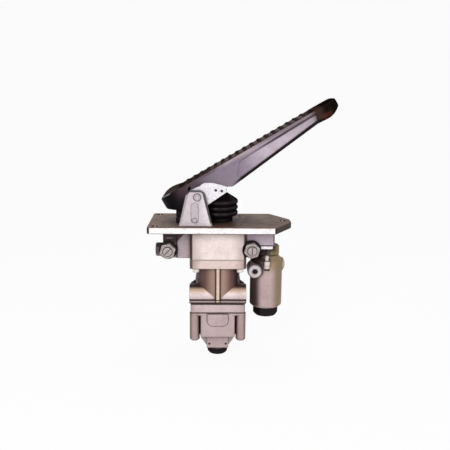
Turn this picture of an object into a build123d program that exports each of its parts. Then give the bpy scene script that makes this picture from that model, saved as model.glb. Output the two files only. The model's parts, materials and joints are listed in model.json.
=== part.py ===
from build123d import *
import os
from math import asin, cos, pi, radians, sin

# Truck foot brake valve, built as the assembly comes apart on a bench. Millimetres.
# Origin: the valve's upright axis at the underside of the mounting plate.
# +Z up, +X towards the pedal's toe, -Y towards the side with the two set screws.

# Mounting plate
plate_thickness = 9.0
plate_heel_x = -95.0
plate_corner_x = 77.0
plate_tip_x = 102.0
plate_width = 108.0
plate_tip_width = 20.0
plate_corner_radius = 4.0
plate_tip_radius = 8.0
plate_edge_break = 0.8
mount_hole_radius = 4.5
mount_hole_heel_x = -85.0
mount_hole_spacing = 88.0
mount_hole_tip_x = 91.0

# Pivot ears and pin
pin_x = -28.3
pin_z = 48.1
pin_radius = 4.0
pin_head_radius = 5.2
pin_head_length = 2.0
ear_centre_x = -30.5
ear_base_length = 44.8
ear_top_length = 20.0
ear_top_z = 56.6
ear_top_radius = 9.0
ear_edge_round = 0.8
ear_thickness = 6.0
ear_side_gap = 0.3
ear_slot_width = 10.5
ear_slot_low_z = 12.8
ear_slot_high_z = 40.8
ear_slot_depth = 1.2
ear_rivet_radius = 3.2
ear_rivet_height = 0.9
clip_radius = 6.8
clip_thickness = 1.2
clip_mouth_width = 5.2

# Pedal, drawn in its own frame: along the tread from the pin, and above the pin
pedal_tilt = 30.3
pedal_width = 65.0
pedal_top = 20.0
pedal_heel = -47.0
pedal_toe = 223.5
pedal_tongue_start = 190.0
pedal_heel_plan_radius = 20.0
pedal_heel_top_radius = 2.5
pedal_heel_low_radius = 6.0
pedal_toe_plan_radius = 18.0
pedal_wall = 4.5
pedal_deck = 6.4
pedal_rib = 3.0
pedal_rib_places = (62.0, 94.0, 126.0, 158.0)
pedal_side_relief = 1.4
pedal_lip = 3.8
pedal_notch_radius = 3.0
pedal_knee_radius = 7.0
hollow_roof = 8.0
relief_rake = 16.0
relief_radius = 8.0
relief_low_radius = 3.0
pedal_knee_along = 47.5
pedal_skirt_end = 4.2
relief_start = 72.0
relief_start_top = 12.6
relief_end_top = 17.2
heel_floor_z = 28.5
heel_front_x = -41.0
heel_floor_thickness = 5.0
web_top_z = 61.0
pad_recess = 1.8
pad_thickness = 2.2
pad_inset = 3.0
pad_fit = 0.05
heel_roll_end = -14.0
heel_roll_height = 2.6
toe_cap_wall = 2.4
toe_cap_top = 21.4
toe_cap_chin = 3.2
toe_cap_chin_along = 212.0
tread_height = 0.9
tread_width = 6.0
tread_pitch = 11.5
tread_start = -9.0
tread_count = 17

# Lever bracket under the pedal
web_thickness = 5.5
web_heel_x = -37.0
web_toe_x = 11.0
cheek_thickness = 4.0
cheek_boss_radius = 12.5
cheek_heel_x = -7.1
cheek_heel_z = 9.6
cheek_crown_x = 10.2
cheek_crown_z = 18.1
cheek_crown_length = 10.5
cheek_nose_x = 41.1
cheek_hook_x = 38.2
cheek_hook_depth = 2.8
cheek_mark_places = ((-3.6, 56.4), (4.4, 55.5))
cheek_mark_depth = 1.6
cheek_mark_radius = 1.7
bracket_screw_radius = 3.0
bracket_screw_head = 5.7
bracket_screw_reach = 9.0
screw_end_gap = 0.5
bracket_screw_xs = (-13.0, 5.0)
bracket_screw_y = 19.0
bracket_boss_radius = 6.0
bush_wall = 1.5
bush_flange = 1.2
bush_flange_radius = 8.0

# Rest buffer under the heel
buffer_x_span = (-58.0, -46.0)
buffer_width = 46.0
buffer_corner = 3.0

# Plunger, its guide, the boot and the graduating spring
plunger_radius = 8.0
plunger_neck_radius = 6.0
plunger_groove = 3.5
plunger_seat_radius = 15.0
plunger_seat_top_z = -8.0
plunger_seat_thickness = 4.0
guide_wall = 4.9
guide_collar_radius = 17.0
guide_collar_top_z = 18.0
guide_top_z = 30.0
guide_bottom_z = -6.8
boot_wall = 2.0
boot_neck_radius = 20.3
boot_fold_radius = 27.7
boot_fold_depth = 4.2
boot_fold_heights = (20.9, 28.6, 36.3)
boot_fold_pitch = 7.7
boot_shoulder_z = 40.0
boot_top_z = 51.6
spring_bore_radius = 6.5
spring_waist_radius = 11.0
spring_foot_radius = 14.0

# Upper housing and what is screwed into it
housing_length = 78.0
housing_depth = 72.0
housing_corner = 6.0
upper_height = 39.5
upper_bore_radius = 20.0
left_lug_heel_x = -57.0
left_port_heel_x = -76.0
left_lug_drop = 3.0
left_lug_lift = 0.2
left_lug_inset = 9.0
left_port_inset = 12.0
left_corner = 2.0
right_lug_toe_x = 77.7
right_lug_height = 20.4
right_lug_corner = 3.0
lug_root = 2.0
set_screw_places = ((-68.5, -26.8), (46.1, -25.7))
set_screw_radius = 6.0
set_screw_length = 26.0
set_screw_slot_angles = (45.0, 90.0)
set_screw_slot_width = 1.6
set_boss_radius = 10.5
set_boss_inset = 6.0
set_boss_length = 14.0
set_bore_depth = 15.0
lock_nut_turn = 15.0
washer_radius = 12.5
washer_thickness = 3.6
lock_nut_flats = 19.0
lock_nut_thickness = 8.0
spot_clearance = 0.6
port_plug_flats = 17.0
port_plug_radius = 6.5
port_plug_head = 11.5
port_plug_y = -4.0
port_plug_drop = 32.2
port_plug_bore = 12.0
port_plug_shank = 11.0
plate_screw_inset = 8.0
plate_screw_radius = 4.0
plate_screw_head_radius = 7.6
plate_screw_depth = 16.0

# Middle housing
gasket_thickness = 1.0
middle_height = 62.0
middle_flange_thickness = 12.0
waist_inset = 8.0
rib_width = 4.4
rib_setback = 2.0
saddle_radius = 17.0
saddle_y = -14.0
saddle_lift = 5.5
saddle_overhang = 0.8
base_flange_thickness = 4.5
base_flange_setback = 1.5
base_groove_height = 1.0
base_groove_depth = 1.4
piston_bore_radius = 24.03
piston_bore_depth = 25.5
seat_web_thickness = 6.0
valve_bore_radius = 14.0
relay_bore_radius = 22.03
flange_screw_inset_x = 8.5
flange_screw_inset_y = 7.0
flange_screw_radius = 3.0
flange_screw_head_radius = 4.6
flange_screw_head_length = 6.0
flange_screw_depth = 9.0

# Intermediate plate and lower housing
plate_stack_setback = 1.0
plate_stack_corner = 4.0
intermediate_thickness = 11.5
lower_flange_thickness = 3.5
column_inset_x = 5.8
column_radius = 7.0
column_length = 41.0
column_taper = 2.0
core_length = 48.0
core_height = 35.0
core_corner = 3.0
core_web_inset_x = 2.0
core_web_inset_y = 9.0
core_web_corner = 4.0
badge_boss_width = 29.4
badge_boss_drop = 18.5
badge_boss_radius = 8.0
badge_boss_height = 1.5
bowl_radius = 25.0
bowl_knuckle_drop = 47.0
bowl_drop = 60.0
bowl_bottom_radius = 16.0
lug_width = 30.4
lug_lift = 5.0
lug_proud = 0.5
lug_hole_radius = 1.3
lug_hole_x = 11.6
lug_hole_lift = 6.0
lug_hole_depth = 3.0
lower_recess_radius = 18.0
lower_recess_depth = 4.0
body_bolt_radius = 3.5
body_bolt_head_radius = 5.2
body_bolt_head_length = 6.0
front_bolt_cover = 0.8
rear_nut_flats = 13.0
rear_nut_thickness = 8.0
exhaust_radius = 14.3
exhaust_height = 9.5
exhaust_edge = 3.0
exhaust_bore = 9.0
exhaust_hole = 4.0
exhaust_neck_length = 8.0

# Air ports on the back
port_radius = 10.25
port_depth = 16.0
port_boss_radius = 14.0
port_boss_proud = 5.0
port_inset = 20.0
port_middle_drop = 37.5
port_lower_drop = 19.0
port_passage_radius = 3.5

# Pistons, inlet valves and their springs
piston_clearance = 0.06
primary_drop = 5.5
primary_crown_thickness = 8.0
stem_radius = 6.0
stem_bore_radius = 3.2
primary_spigot_radius = 6.0
primary_spigot_length = 12.0
valve_lift_gap = 1.8
relay_lift_gap = 1.6
relay_drop = 1.0
relay_crown_thickness = 7.0
valve_disc_radius = 11.0
valve_disc_thickness = 4.0
valve_tube_radius = 4.0
valve_tube_length = 14.0
valve_seat_gap = 0.3
guide_disc_thickness = 4.0
guide_disc_depth = 13.0
seal_section_radius = 1.0
seal_side_gap = 0.1
seal_set_back = 0.25
return_coil_radius = 17.0
return_wire_radius = 1.1
relay_coil_radius = 13.5
valve_coil_radius = 7.6
valve_wire_radius = 0.8
coil_turns = 3.0
coil_sides = 12

# Side valve
side_x = 69.0
side_gasket_thickness = 1.5
side_flange_thickness = 3.8
side_flange_span = (57.2, 75.3)
side_flange_setback = 0.5
side_flange_corner = 2.0
collar_radius = 18.0
collar_height = 13.3
collar_chamfer = 1.5
side_radius = 22.8
side_shoulder_drop = 7.0
side_length = 75.0
side_chamfer = 2.5
side_dome_radius = 9.5
side_dome_drop = 14.5
side_dome_height = 3.5
side_dome_seat = 23.0
side_plug_shank = 11.0
side_dome_thread = 7.0
socket_plug_offset = 17.8
socket_plug_drop = 18.8
socket_plug_radius = 9.0
socket_plug_thread = 7.0
socket_plug_head = 4.0
socket_plug_shank = 12.0
socket_boss_radius = 10.3
socket_boss_front_y = -25.5
socket_flats = 7.4
socket_depth = 5.0
side_bolt_offset = 1.2
side_bolt_inset = 4.5
side_bolt_clearance = 4.5
side_bolt_radius = 2.5
side_bolt_head_radius = 4.0
side_bolt_head_length = 4.2
side_lug_radius = 5.0
side_lug_drop = 11.0
side_lug_height = 6.5
side_bolt_depth = 12.0
cap_flats = 30.6
cap_height = 14.0
cap_chamfer = 3.0

far = 300.0
running_gap = 0.04
fixed_gap = 0.03
rest_gap = 0.3

# Places that follow from the sizes above
tilt = radians(pedal_tilt)
half_pedal = pedal_width / 2
cheek_outer_y = half_pedal + cheek_thickness
ear_inner_y = cheek_outer_y + bush_flange + ear_side_gap
ear_outer_y = ear_inner_y + ear_thickness
half_housing = housing_length / 2
half_depth = housing_depth / 2
web_bottom_z = web_top_z - web_thickness
plunger_top_z = web_bottom_z - rest_gap
guide_bore = plunger_radius + running_gap
guide_radius = guide_bore + guide_wall
spring_top_z = plunger_seat_top_z - plunger_seat_thickness

# Upper housing
upper_bottom_z = -upper_height
lug_half_depth = half_depth - left_lug_inset
port_half_depth = half_depth - left_port_inset
right_lug_bottom_z = -right_lug_height
side_bolt_y = collar_radius + side_bolt_radius + side_bolt_clearance
right_lug_half_depth = side_bolt_y + side_bolt_inset
set_boss_front_y = -half_depth + set_boss_inset
port_plug_z = -port_plug_drop
plate_screw_x = half_housing - plate_screw_inset
plate_screw_y = half_depth - plate_screw_inset

# Middle housing
waist_radius = half_housing - waist_inset
middle_top_z = upper_bottom_z - gasket_thickness
middle_flange_bottom_z = middle_top_z - middle_flange_thickness
middle_bottom_z = middle_top_z - middle_height
base_flange_top_z = middle_bottom_z + base_flange_thickness
saddle_length = housing_length + 2 * saddle_overhang
saddle_z = middle_bottom_z + saddle_lift
base_flange_depth = housing_depth - 2 * base_flange_setback
piston_floor_z = middle_top_z - piston_bore_depth
middle_seat_z = piston_floor_z - seat_web_thickness
flange_screw_x = half_housing - flange_screw_inset_x
flange_screw_y = half_depth - flange_screw_inset_y
primary_crown_top_z = middle_top_z - primary_drop
primary_spigot_top_z = primary_crown_top_z + primary_spigot_length

# Intermediate plate and lower housing
plate_stack_length = housing_length - 2 * plate_stack_setback
intermediate_top_z = middle_bottom_z - gasket_thickness
intermediate_bottom_z = intermediate_top_z - intermediate_thickness
relay_crown_top_z = intermediate_top_z - relay_drop
lower_top_z = intermediate_bottom_z - gasket_thickness
lower_floor_z = lower_top_z - lower_recess_depth
lower_seat_z = lower_floor_z - seat_web_thickness
column_x = plate_stack_length / 2 - column_inset_x
column_y = half_depth - column_radius
column_bottom_z = lower_top_z - column_length
core_bottom_z = lower_top_z - core_height
badge_boss_bottom_z = lower_top_z - badge_boss_drop
bowl_knuckle_z = lower_top_z - bowl_knuckle_drop
bowl_bottom_z = lower_top_z - bowl_drop
lug_bottom_z = bowl_bottom_z + lug_lift
lug_hole_z = lug_bottom_z + lug_hole_lift
exhaust_bottom_z = bowl_bottom_z - exhaust_height

# Air ports
port_x = plate_stack_length / 2 - port_inset
port_face_y = half_depth + port_boss_proud
port_middle_z = middle_top_z - port_middle_drop
port_lower_z = lower_top_z - port_lower_drop

# Side valve
side_flange_top_z = right_lug_bottom_z - side_gasket_thickness
collar_top_z = side_flange_top_z - side_flange_thickness
side_top_z = collar_top_z - collar_height
side_shoulder_z = side_top_z - side_shoulder_drop
side_bottom_z = side_top_z - side_length
side_lug_bottom_z = side_top_z - side_lug_drop
side_dome_z = side_top_z - side_dome_drop
side_dome_seat_x = side_x + side_dome_seat
socket_plug_x = side_x - socket_plug_offset
socket_plug_z = side_top_z - socket_plug_drop
side_bolt_x = side_x - side_bolt_offset
cap_bottom_z = side_bottom_z - cap_height


def disc(radius, z_low, z_high, x=0.0, y=0.0):
    """Upright cylinder between two heights."""
    height = z_high - z_low
    return Pos(x, y, (z_low + z_high) / 2) * Cylinder(radius, height)


def bar_y(radius, y_low, y_high, x, z):
    """Cylinder along Y."""
    return Pos(x, (y_low + y_high) / 2, z) * Rot(90, 0, 0) * Cylinder(radius, y_high - y_low)


def bar_x(radius, x_low, x_high, y, z):
    """Cylinder along X."""
    return Pos((x_low + x_high) / 2, y, z) * Rot(0, 90, 0) * Cylinder(radius, x_high - x_low)


def slab(x_span, y_span, z_span, corner=0.0):
    """Block between two corners, with its upright edges rounded."""
    length = x_span[1] - x_span[0]
    depth = y_span[1] - y_span[0]
    outline = RectangleRounded(length, depth, corner) if corner else Rectangle(length, depth)
    centre = Pos((x_span[0] + x_span[1]) / 2, (y_span[0] + y_span[1]) / 2, z_span[0])
    return extrude(centre * outline, z_span[1] - z_span[0])


def turned(*corners):
    """Solid of revolution about Z from (radius, height) corners."""
    return revolve(Plane.XZ * Polygon(*corners, align=None), Axis.Z)


def rounded_outline(*corners):
    """Closed outline from (x, y, corner radius) points."""
    points = [(x, y) for x, y, radius in corners]
    return make_face(FilletPolyline(*points, radius=[radius for x, y, radius in corners], close=True))


def upright_face(y):
    """Sketch plane facing -Y at the given Y, with X and Z as its axes."""
    return Plane(origin=(0, y, 0), x_dir=(1, 0, 0), z_dir=(0, -1, 0))


def hexagon(flats):
    """Hexagon sketch with two corners on its X axis."""
    return RegularPolygon(flats / 2, 6, major_radius=False)


def hex_nut(flats, thickness, bore):
    """Nut on the XY plane with its corners chamfered by a cone."""
    corner = flats / 2 / cos(radians(30))
    chamfer_height = thickness / 6
    blank = extrude(hexagon(flats), thickness)
    cone = turned(
        (0, 0),
        (corner, 0),
        (corner, thickness - chamfer_height),
        (flats / 2, thickness),
        (0, thickness),
    )
    return (blank & cone) - Pos(0, 0, thickness / 2) * Cylinder(bore, thickness + 1)


def countersunk(radius, head_radius, face_z, end_z, extra=0.0):
    """Upright countersunk screw, flush with face_z; an allowance all round makes its hole."""
    inward = 1 if end_z > face_z else -1
    end = end_z + inward * extra
    corners = [
        (0, end),
        (radius + extra, end),
        (radius + extra, face_z + inward * (head_radius - radius)),
        (head_radius + extra, face_z),
    ]
    if extra:
        corners.append((head_radius + extra, face_z - inward))
        corners.append((0, face_z - inward))
    else:
        corners.append((0, face_z))
    return turned(*corners)


def coil(mean_radius, wire_radius, z_low, z_high, turns):
    """Coil spring between two seats, with few enough facets for a piece that stays hidden."""
    height = z_high - z_low - 2 * wire_radius
    steps = int(turns * coil_sides)
    points = []
    for step in range(steps + 1):
        angle = 2 * pi * step / coil_sides
        points.append((mean_radius * cos(angle), mean_radius * sin(angle), height * step / steps))
    path = Polyline(*points)
    section = Plane(origin=path @ 0, z_dir=path % 0) * RegularPolygon(wire_radius, 6)
    return Pos(0, 0, z_low + wire_radius) * sweep(section, path=path, transition=Transition.RIGHT)


def four_places(x, y):
    """The four corners of a bolt rectangle."""
    return [(side * x, depth * y) for side in (-1, 1) for depth in (-1, 1)]


def to_pedal(x, z):
    """A place in X and Z as (along, above) in the pedal's frame at the pin."""
    dx = x - pin_x
    dz = z - pin_z
    return dx * cos(tilt) + dz * sin(tilt), dz * cos(tilt) - dx * sin(tilt)


pin_place = (pin_x, 0, pin_z)
along_pedal = (cos(tilt), 0, sin(tilt))
pedal_side = Plane(origin=pin_place, x_dir=along_pedal, z_dir=(0, -1, 0))
pedal_plan = Plane(origin=pin_place, x_dir=along_pedal, z_dir=(-sin(tilt), 0, cos(tilt)))


def heel_corner_x():
    """X where the heel's end line meets the heel floor."""
    return pin_x + (pedal_heel - (heel_floor_z - pin_z) * sin(tilt)) / cos(tilt)


def knee_above():
    """Height above the pin, in the pedal's frame, where the skirt's edge leaves the bracket web."""
    return (web_top_z - pin_z - pedal_knee_along * sin(tilt)) / cos(tilt)


def lower_edge(along):
    """Height of the skirt's lower edge at a place along the tread."""
    rise = (pedal_skirt_end - knee_above()) / (pedal_tongue_start - pedal_knee_along)
    return knee_above() + rise * (along - pedal_knee_along)


def pedal_outline():
    """Side outline of the casting from the heel to where the toe cap begins."""
    heel_low = to_pedal(heel_corner_x(), heel_floor_z)
    notch_low = to_pedal(heel_front_x, heel_floor_z)
    notch_high = to_pedal(heel_front_x, web_top_z)
    return rounded_outline(
        (pedal_heel, pedal_top, pedal_heel_top_radius),
        (*heel_low, pedal_heel_low_radius),
        (*notch_low, pedal_notch_radius),
        (*notch_high, pedal_notch_radius),
        (pedal_knee_along, knee_above(), pedal_knee_radius),
        (pedal_tongue_start, pedal_skirt_end, 0.0),
        (pedal_tongue_start, pedal_top, 0.0),
    )


def toe_outline(wall, top, start):
    """Side outline of the toe cap, or with a wall taken off of the tongue inside it."""
    end = pedal_toe - wall
    return rounded_outline(
        (start, top, 0.0),
        (start, lower_edge(start) + wall, 0.0),
        (toe_cap_chin_along - wall / 2, toe_cap_chin + wall, 7.0 - wall),
        (end, toe_cap_chin + 6.5 + wall / 2, 6.0 - wall),
        (end, top, 3.0 if wall == 0 else 0.0),
    )


def pedal_plan_outline(inset):
    """Plan outline of the pedal: round at the heel and rounder at the toe."""
    half = half_pedal - inset
    heel = pedal_heel + inset
    toe = pedal_toe - inset
    heel_radius = pedal_heel_plan_radius - inset
    toe_radius = pedal_toe_plan_radius - inset
    return rounded_outline(
        (heel, -half, heel_radius),
        (toe, -half, toe_radius),
        (toe, half, toe_radius),
        (heel, half, heel_radius),
    )


def pedal_column(inset):
    """Everything above and below the pedal's plan outline."""
    return extrude(pedal_plan * pedal_plan_outline(inset), 3 * pedal_width, both=True)


def pedal_bar(outline):
    """Side outline in the pedal's frame, taken across its full width."""
    return extrude(pedal_side * outline, half_pedal, both=True)


def pedal_span(start, end, low, high, width):
    """Block in the pedal's frame, centred on its middle line."""
    outline = Pos((start + end) / 2, (low + high) / 2) * Rectangle(end - start, high - low)
    return extrude(pedal_side * outline, width / 2, both=True)


def pedal_hollow():
    """Space under the deck, open downwards ahead of the heel floor."""
    floor_z = heel_floor_z + heel_floor_thickness
    inner_top = pedal_top - pedal_deck
    heel = pedal_heel + pedal_wall
    heel_low = to_pedal(heel_corner_x() + pedal_wall + 2.0, floor_z)
    front_low = to_pedal(heel_front_x - pedal_wall, floor_z)
    front_high = to_pedal(heel_front_x - pedal_wall, web_top_z - hollow_roof)
    beyond = to_pedal(heel_front_x + hollow_roof, web_top_z - hollow_roof)
    end = pedal_tongue_start - pedal_wall
    outline = Polygon(
        (heel, inner_top),
        heel_low,
        front_low,
        front_high,
        beyond,
        (pedal_knee_along, knee_above() - hollow_roof),
        (end, lower_edge(end) - hollow_roof),
        (end, inner_top),
        align=None,
    )
    plan = extrude(pedal_plan * pedal_plan_outline(pedal_wall), 3 * pedal_width, both=True)
    return extrude(pedal_side * outline, half_pedal, both=True) & plan


def side_relief():
    """Shallow panel let into both flanks, between the deck edge and the lower lip."""
    end = pedal_tongue_start
    low_start = relief_start - relief_rake
    outline = rounded_outline(
        (relief_start, relief_start_top, relief_radius),
        (low_start, lower_edge(low_start) + pedal_lip, relief_low_radius),
        (end, lower_edge(end) + pedal_lip, 0.0),
        (end, relief_end_top, 0.0),
    )
    flank = half_pedal - pedal_side_relief
    bar = extrude(pedal_side * outline, half_pedal + 1.0, both=True)
    return bar - slab((-far, far), (-flank, flank), (-far, far))


def bracket_bosses():
    """Pillars in the hollow that take the bracket screws."""
    pillars = Part()
    for x in bracket_screw_xs:
        for y in (-bracket_screw_y, bracket_screw_y):
            pillars += disc(bracket_boss_radius, web_top_z, web_top_z + 3 * pedal_top, x, y)
    return pillars & pedal_bar(pedal_outline())


def pedal_ribs():
    """Cross ribs under the deck and a spine that joins them."""
    ribs = Part()
    deck = pedal_top - pad_recess - 1.0
    inner = pedal_width - pedal_wall
    for place in pedal_rib_places:
        low = lower_edge(place) + pedal_lip
        ribs += pedal_span(place - pedal_rib / 2, place + pedal_rib / 2, low, deck, inner)
    spine_low = lower_edge(pedal_tongue_start) + pedal_lip
    return ribs + pedal_span(pedal_rib_places[0], pedal_tongue_start - 1.0, spine_low, deck, pedal_rib)


def pedal_body():
    """Cast treadle: deck, skirts, heel floor, cross ribs, screw bosses and toe tongue."""
    deck = pedal_top - pad_recess
    body = pedal_bar(pedal_outline()) & pedal_column(0.0)
    body = body - pedal_hollow() - side_relief()
    body = body + pedal_ribs() + bracket_bosses()
    recess = pedal_span(pedal_heel, pedal_tongue_start + 1.0, deck, pedal_top + 1.0, pedal_width)
    body -= recess & pedal_column(pad_inset - pad_fit)
    body += pedal_bar(toe_outline(toe_cap_wall, deck, pedal_tongue_start - 1.0)) & pedal_column(toe_cap_wall)
    for x in bracket_screw_xs:
        for y in (-bracket_screw_y, bracket_screw_y):
            hole_top_z = web_top_z + bracket_screw_reach + screw_end_gap
            body -= disc(bracket_screw_radius + fixed_gap, web_top_z - 1.0, hole_top_z, x, y)
    return body


def heel_roll(sheet_top):
    """Raised roll across the pad at the heel, high at the back and running out forwards."""
    start = pedal_heel + pad_inset
    length = heel_roll_end - start
    crown = sheet_top + heel_roll_height
    outline = Line((start, sheet_top - 1.0), (start, sheet_top))
    outline += Spline(
        (start, sheet_top),
        (start + 0.2 * length, sheet_top + 0.8 * heel_roll_height),
        (start + 0.5 * length, crown),
        (heel_roll_end, sheet_top),
    )
    outline += Line((heel_roll_end, sheet_top), (heel_roll_end, sheet_top - 1.0))
    outline += Line((heel_roll_end, sheet_top - 1.0), (start, sheet_top - 1.0))
    return pedal_bar(make_face(outline))


def pedal_pad():
    """Ribbed rubber tread with a heel roll, in one piece with the cap over the toe."""
    deck = pedal_top - pad_recess
    sheet_top = deck + pad_thickness
    pad = pedal_span(pedal_heel, pedal_tongue_start + 4.0, deck, sheet_top, pedal_width)
    for number in range(tread_count):
        start = tread_start + number * tread_pitch
        tread = rounded_outline(
            (start, sheet_top - 1.0, 0.0),
            (start + tread_width, sheet_top - 1.0, 0.0),
            (start + tread_width, sheet_top + tread_height, 0.8),
            (start, sheet_top + tread_height, 0.8),
        )
        pad += pedal_bar(tread)
    pad += heel_roll(sheet_top)
    pad &= pedal_column(pad_inset)
    cap = pedal_bar(toe_outline(0.0, toe_cap_top, pedal_tongue_start)) & pedal_column(0.0)
    tongue = pedal_bar(toe_outline(toe_cap_wall, deck, pedal_tongue_start - 1.0)) & pedal_column(toe_cap_wall)
    return pad + (cap - tongue)


def cheek_outline():
    """Side outline of a bracket cheek around the pin, with its hooked nose."""
    nose = make_face(
        Polyline(
            (pin_x - 0.8 * cheek_boss_radius, pin_z),
            (pin_x + cheek_heel_x, pin_z + cheek_heel_z),
            (pin_x + cheek_crown_x, pin_z + cheek_crown_z),
            (pin_x + cheek_crown_x + cheek_crown_length, pin_z + cheek_crown_z),
            (pin_x + cheek_nose_x, web_top_z),
            (pin_x + cheek_hook_x, web_top_z - cheek_hook_depth),
            (web_toe_x, web_bottom_z - cheek_hook_depth / 2),
            (pin_x + cheek_boss_radius, pin_z - cheek_boss_radius),
            (pin_x, pin_z - cheek_boss_radius),
            close=True,
        )
    )
    return nose + Pos(pin_x, pin_z) * Circle(cheek_boss_radius)


def lever_bracket():
    """Cast bracket: a web that carries the pedal and pushes the plunger, and two pivoted cheeks."""
    web = slab((web_heel_x, web_toe_x), (-half_pedal - 0.5, half_pedal + 0.5), (web_bottom_z, web_top_z))
    bracket = web
    bush_hole = pin_radius + running_gap + bush_wall + fixed_gap
    for side in (-1, 1):
        outer = upright_face(side * half_pedal)
        cheek = extrude(outer * cheek_outline(), -side * cheek_thickness)
        bracket += cheek
    bracket -= bar_y(bush_hole, -far, far, pin_x, pin_z)
    floor_y = cheek_outer_y - cheek_mark_depth
    for mark_x, mark_z in cheek_mark_places:
        bracket -= bar_y(cheek_mark_radius, -cheek_outer_y - 1, -floor_y, mark_x, mark_z)
        bracket -= bar_y(cheek_mark_radius, floor_y, cheek_outer_y + 1, mark_x, mark_z)
    for x in bracket_screw_xs:
        for y in (-bracket_screw_y, bracket_screw_y):
            bracket -= Pos(x, y, 0) * bracket_screw(fixed_gap)
    return bracket


def bracket_screw(extra=0.0):
    """One screw of the bracket, head down in the web."""
    end_z = web_top_z + bracket_screw_reach
    return countersunk(bracket_screw_radius, bracket_screw_head, web_bottom_z, end_z, extra)


def bracket_screws():
    """Four countersunk screws with hexagon sockets."""
    socket = Pos(0, 0, web_bottom_z) * extrude(hexagon(4.0), 2.4)
    screw = bracket_screw() - socket
    return [Pos(x, y, 0) * screw for x in bracket_screw_xs for y in (-bracket_screw_y, bracket_screw_y)]


def pivot_bushes():
    """Flanged bushes pressed into the cheeks from outside."""
    inner = pin_radius + running_gap
    outer = inner + bush_wall
    bushes = []
    for side in (-1, 1):
        seat = side * cheek_outer_y
        tip = side * (cheek_outer_y + bush_flange)
        back = side * half_pedal
        flange = bar_y(bush_flange_radius, min(seat, tip), max(seat, tip), pin_x, pin_z)
        barrel = bar_y(outer, min(seat, back), max(seat, back), pin_x, pin_z)
        bushes.append(flange + barrel - bar_y(inner, -far, far, pin_x, pin_z))
    return bushes


def pivot_pin():
    """Headed pin across both ears, with a clip groove at the far end."""
    shaft = bar_y(pin_radius, -ear_outer_y, ear_outer_y + clip_thickness + 2.5, pin_x, pin_z)
    head = bar_y(pin_head_radius, -ear_outer_y - pin_head_length, -ear_outer_y, pin_x, pin_z)
    head = chamfer(head.edges().group_by(Axis.Y)[0], 0.6)
    head_face = -ear_outer_y - pin_head_length
    ring = bar_y(pin_radius - 0.9, head_face - 1, head_face + 0.5, pin_x, pin_z)
    groove_low = ear_outer_y + 0.1
    groove = bar_y(pin_radius + 1, groove_low, groove_low + clip_thickness + 0.1, pin_x, pin_z)
    groove -= bar_y(pin_radius - 0.7, 0, far, pin_x, pin_z)
    return shaft + (head - ring) - groove


def pin_clip():
    """Open spring ring in the pin's groove."""
    low = ear_outer_y + 0.15
    ring = bar_y(clip_radius, low, low + clip_thickness, pin_x, pin_z)
    ring -= bar_y(pin_radius - 0.65, 0, far, pin_x, pin_z)
    half_mouth = clip_mouth_width / 2
    mouth_bottom_z = pin_z - 2 * clip_radius
    mouth = slab((pin_x - half_mouth, pin_x + half_mouth), (low - 1, low + 3), (mouth_bottom_z, pin_z))
    return ring - mouth


def pivot_ear(side):
    """Trapezium ear with a rounded top, a sunk slot and a round rivet head at its foot."""
    half_base = ear_base_length / 2
    half_top = ear_top_length / 2 + 1.6
    outline = rounded_outline(
        (ear_centre_x - half_base, plate_thickness, 0.0),
        (ear_centre_x + half_base, plate_thickness, 0.0),
        (ear_centre_x + half_top, ear_top_z, ear_top_radius),
        (ear_centre_x - half_top, ear_top_z, ear_top_radius),
    )
    ear = extrude(upright_face(side * ear_inner_y) * outline, -side * ear_thickness)
    outer_edges = ear.faces().sort_by(Axis.Y)[0 if side < 0 else -1].edges().sort_by(Axis.Z)[1:]
    ear = fillet(outer_edges, ear_edge_round)
    slot_height = ear_slot_high_z - ear_slot_low_z
    slot_x = ear_centre_x - 1.0
    slot_z = ear_slot_low_z + slot_height / 2
    slot = Pos(slot_x, slot_z) * Rot(0, 0, 90) * SlotOverall(slot_height, ear_slot_width)
    floor = side * (ear_outer_y - ear_slot_depth)
    ear -= extrude(upright_face(floor) * slot, -side * 2 * ear_slot_depth)
    rivet_low = min(floor, floor + side * ear_rivet_height)
    rivet_z = ear_slot_low_z + ear_slot_width / 2 - 1.4
    ear += bar_y(ear_rivet_radius, rivet_low, rivet_low + ear_rivet_height, slot_x - 0.6, rivet_z)
    return ear - bar_y(pin_radius + fixed_gap, -far, far, pin_x, pin_z)


def mounting_plate():
    """Floor plate with a blunt tip, three fixing holes and the guide's bore."""
    half = plate_width / 2
    half_tip = plate_tip_width / 2
    outline = rounded_outline(
        (plate_heel_x, -half, plate_corner_radius),
        (plate_corner_x, -half, plate_corner_radius),
        (plate_tip_x, -half_tip, plate_tip_radius),
        (plate_tip_x, half_tip, plate_tip_radius),
        (plate_corner_x, half, plate_corner_radius),
        (plate_heel_x, half, plate_corner_radius),
    )
    plate = extrude(outline, plate_thickness)
    plate = chamfer(plate.faces().sort_by(Axis.Z)[-1].edges(), plate_edge_break)
    plate = chamfer(plate.faces().sort_by(Axis.Z)[0].edges(), plate_edge_break)
    heel_places = [(mount_hole_heel_x, side * mount_hole_spacing / 2) for side in (-1, 1)]
    for x, y in heel_places + [(mount_hole_tip_x, 0)]:
        plate -= disc(mount_hole_radius, -1, plate_thickness + 1, x, y)
    plate -= disc(guide_radius + fixed_gap, -1, plate_thickness + 1)
    for x, y in four_places(plate_screw_x, plate_screw_y):
        plate -= Pos(x, y, 0) * plate_screw(fixed_gap)
    return plate


def plate_screw(extra=0.0):
    """One countersunk screw, head flush with the plate."""
    head = plate_screw_head_radius
    return countersunk(plate_screw_radius, head, plate_thickness, -plate_screw_depth, extra)


def plate_screws():
    """Four countersunk screws that hold the upper housing to the plate."""
    socket = Pos(0, 0, plate_thickness - 2.6) * extrude(hexagon(5.0), 3)
    screw = plate_screw() - socket
    return [Pos(x, y, 0) * screw for x, y in four_places(plate_screw_x, plate_screw_y)]


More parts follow.
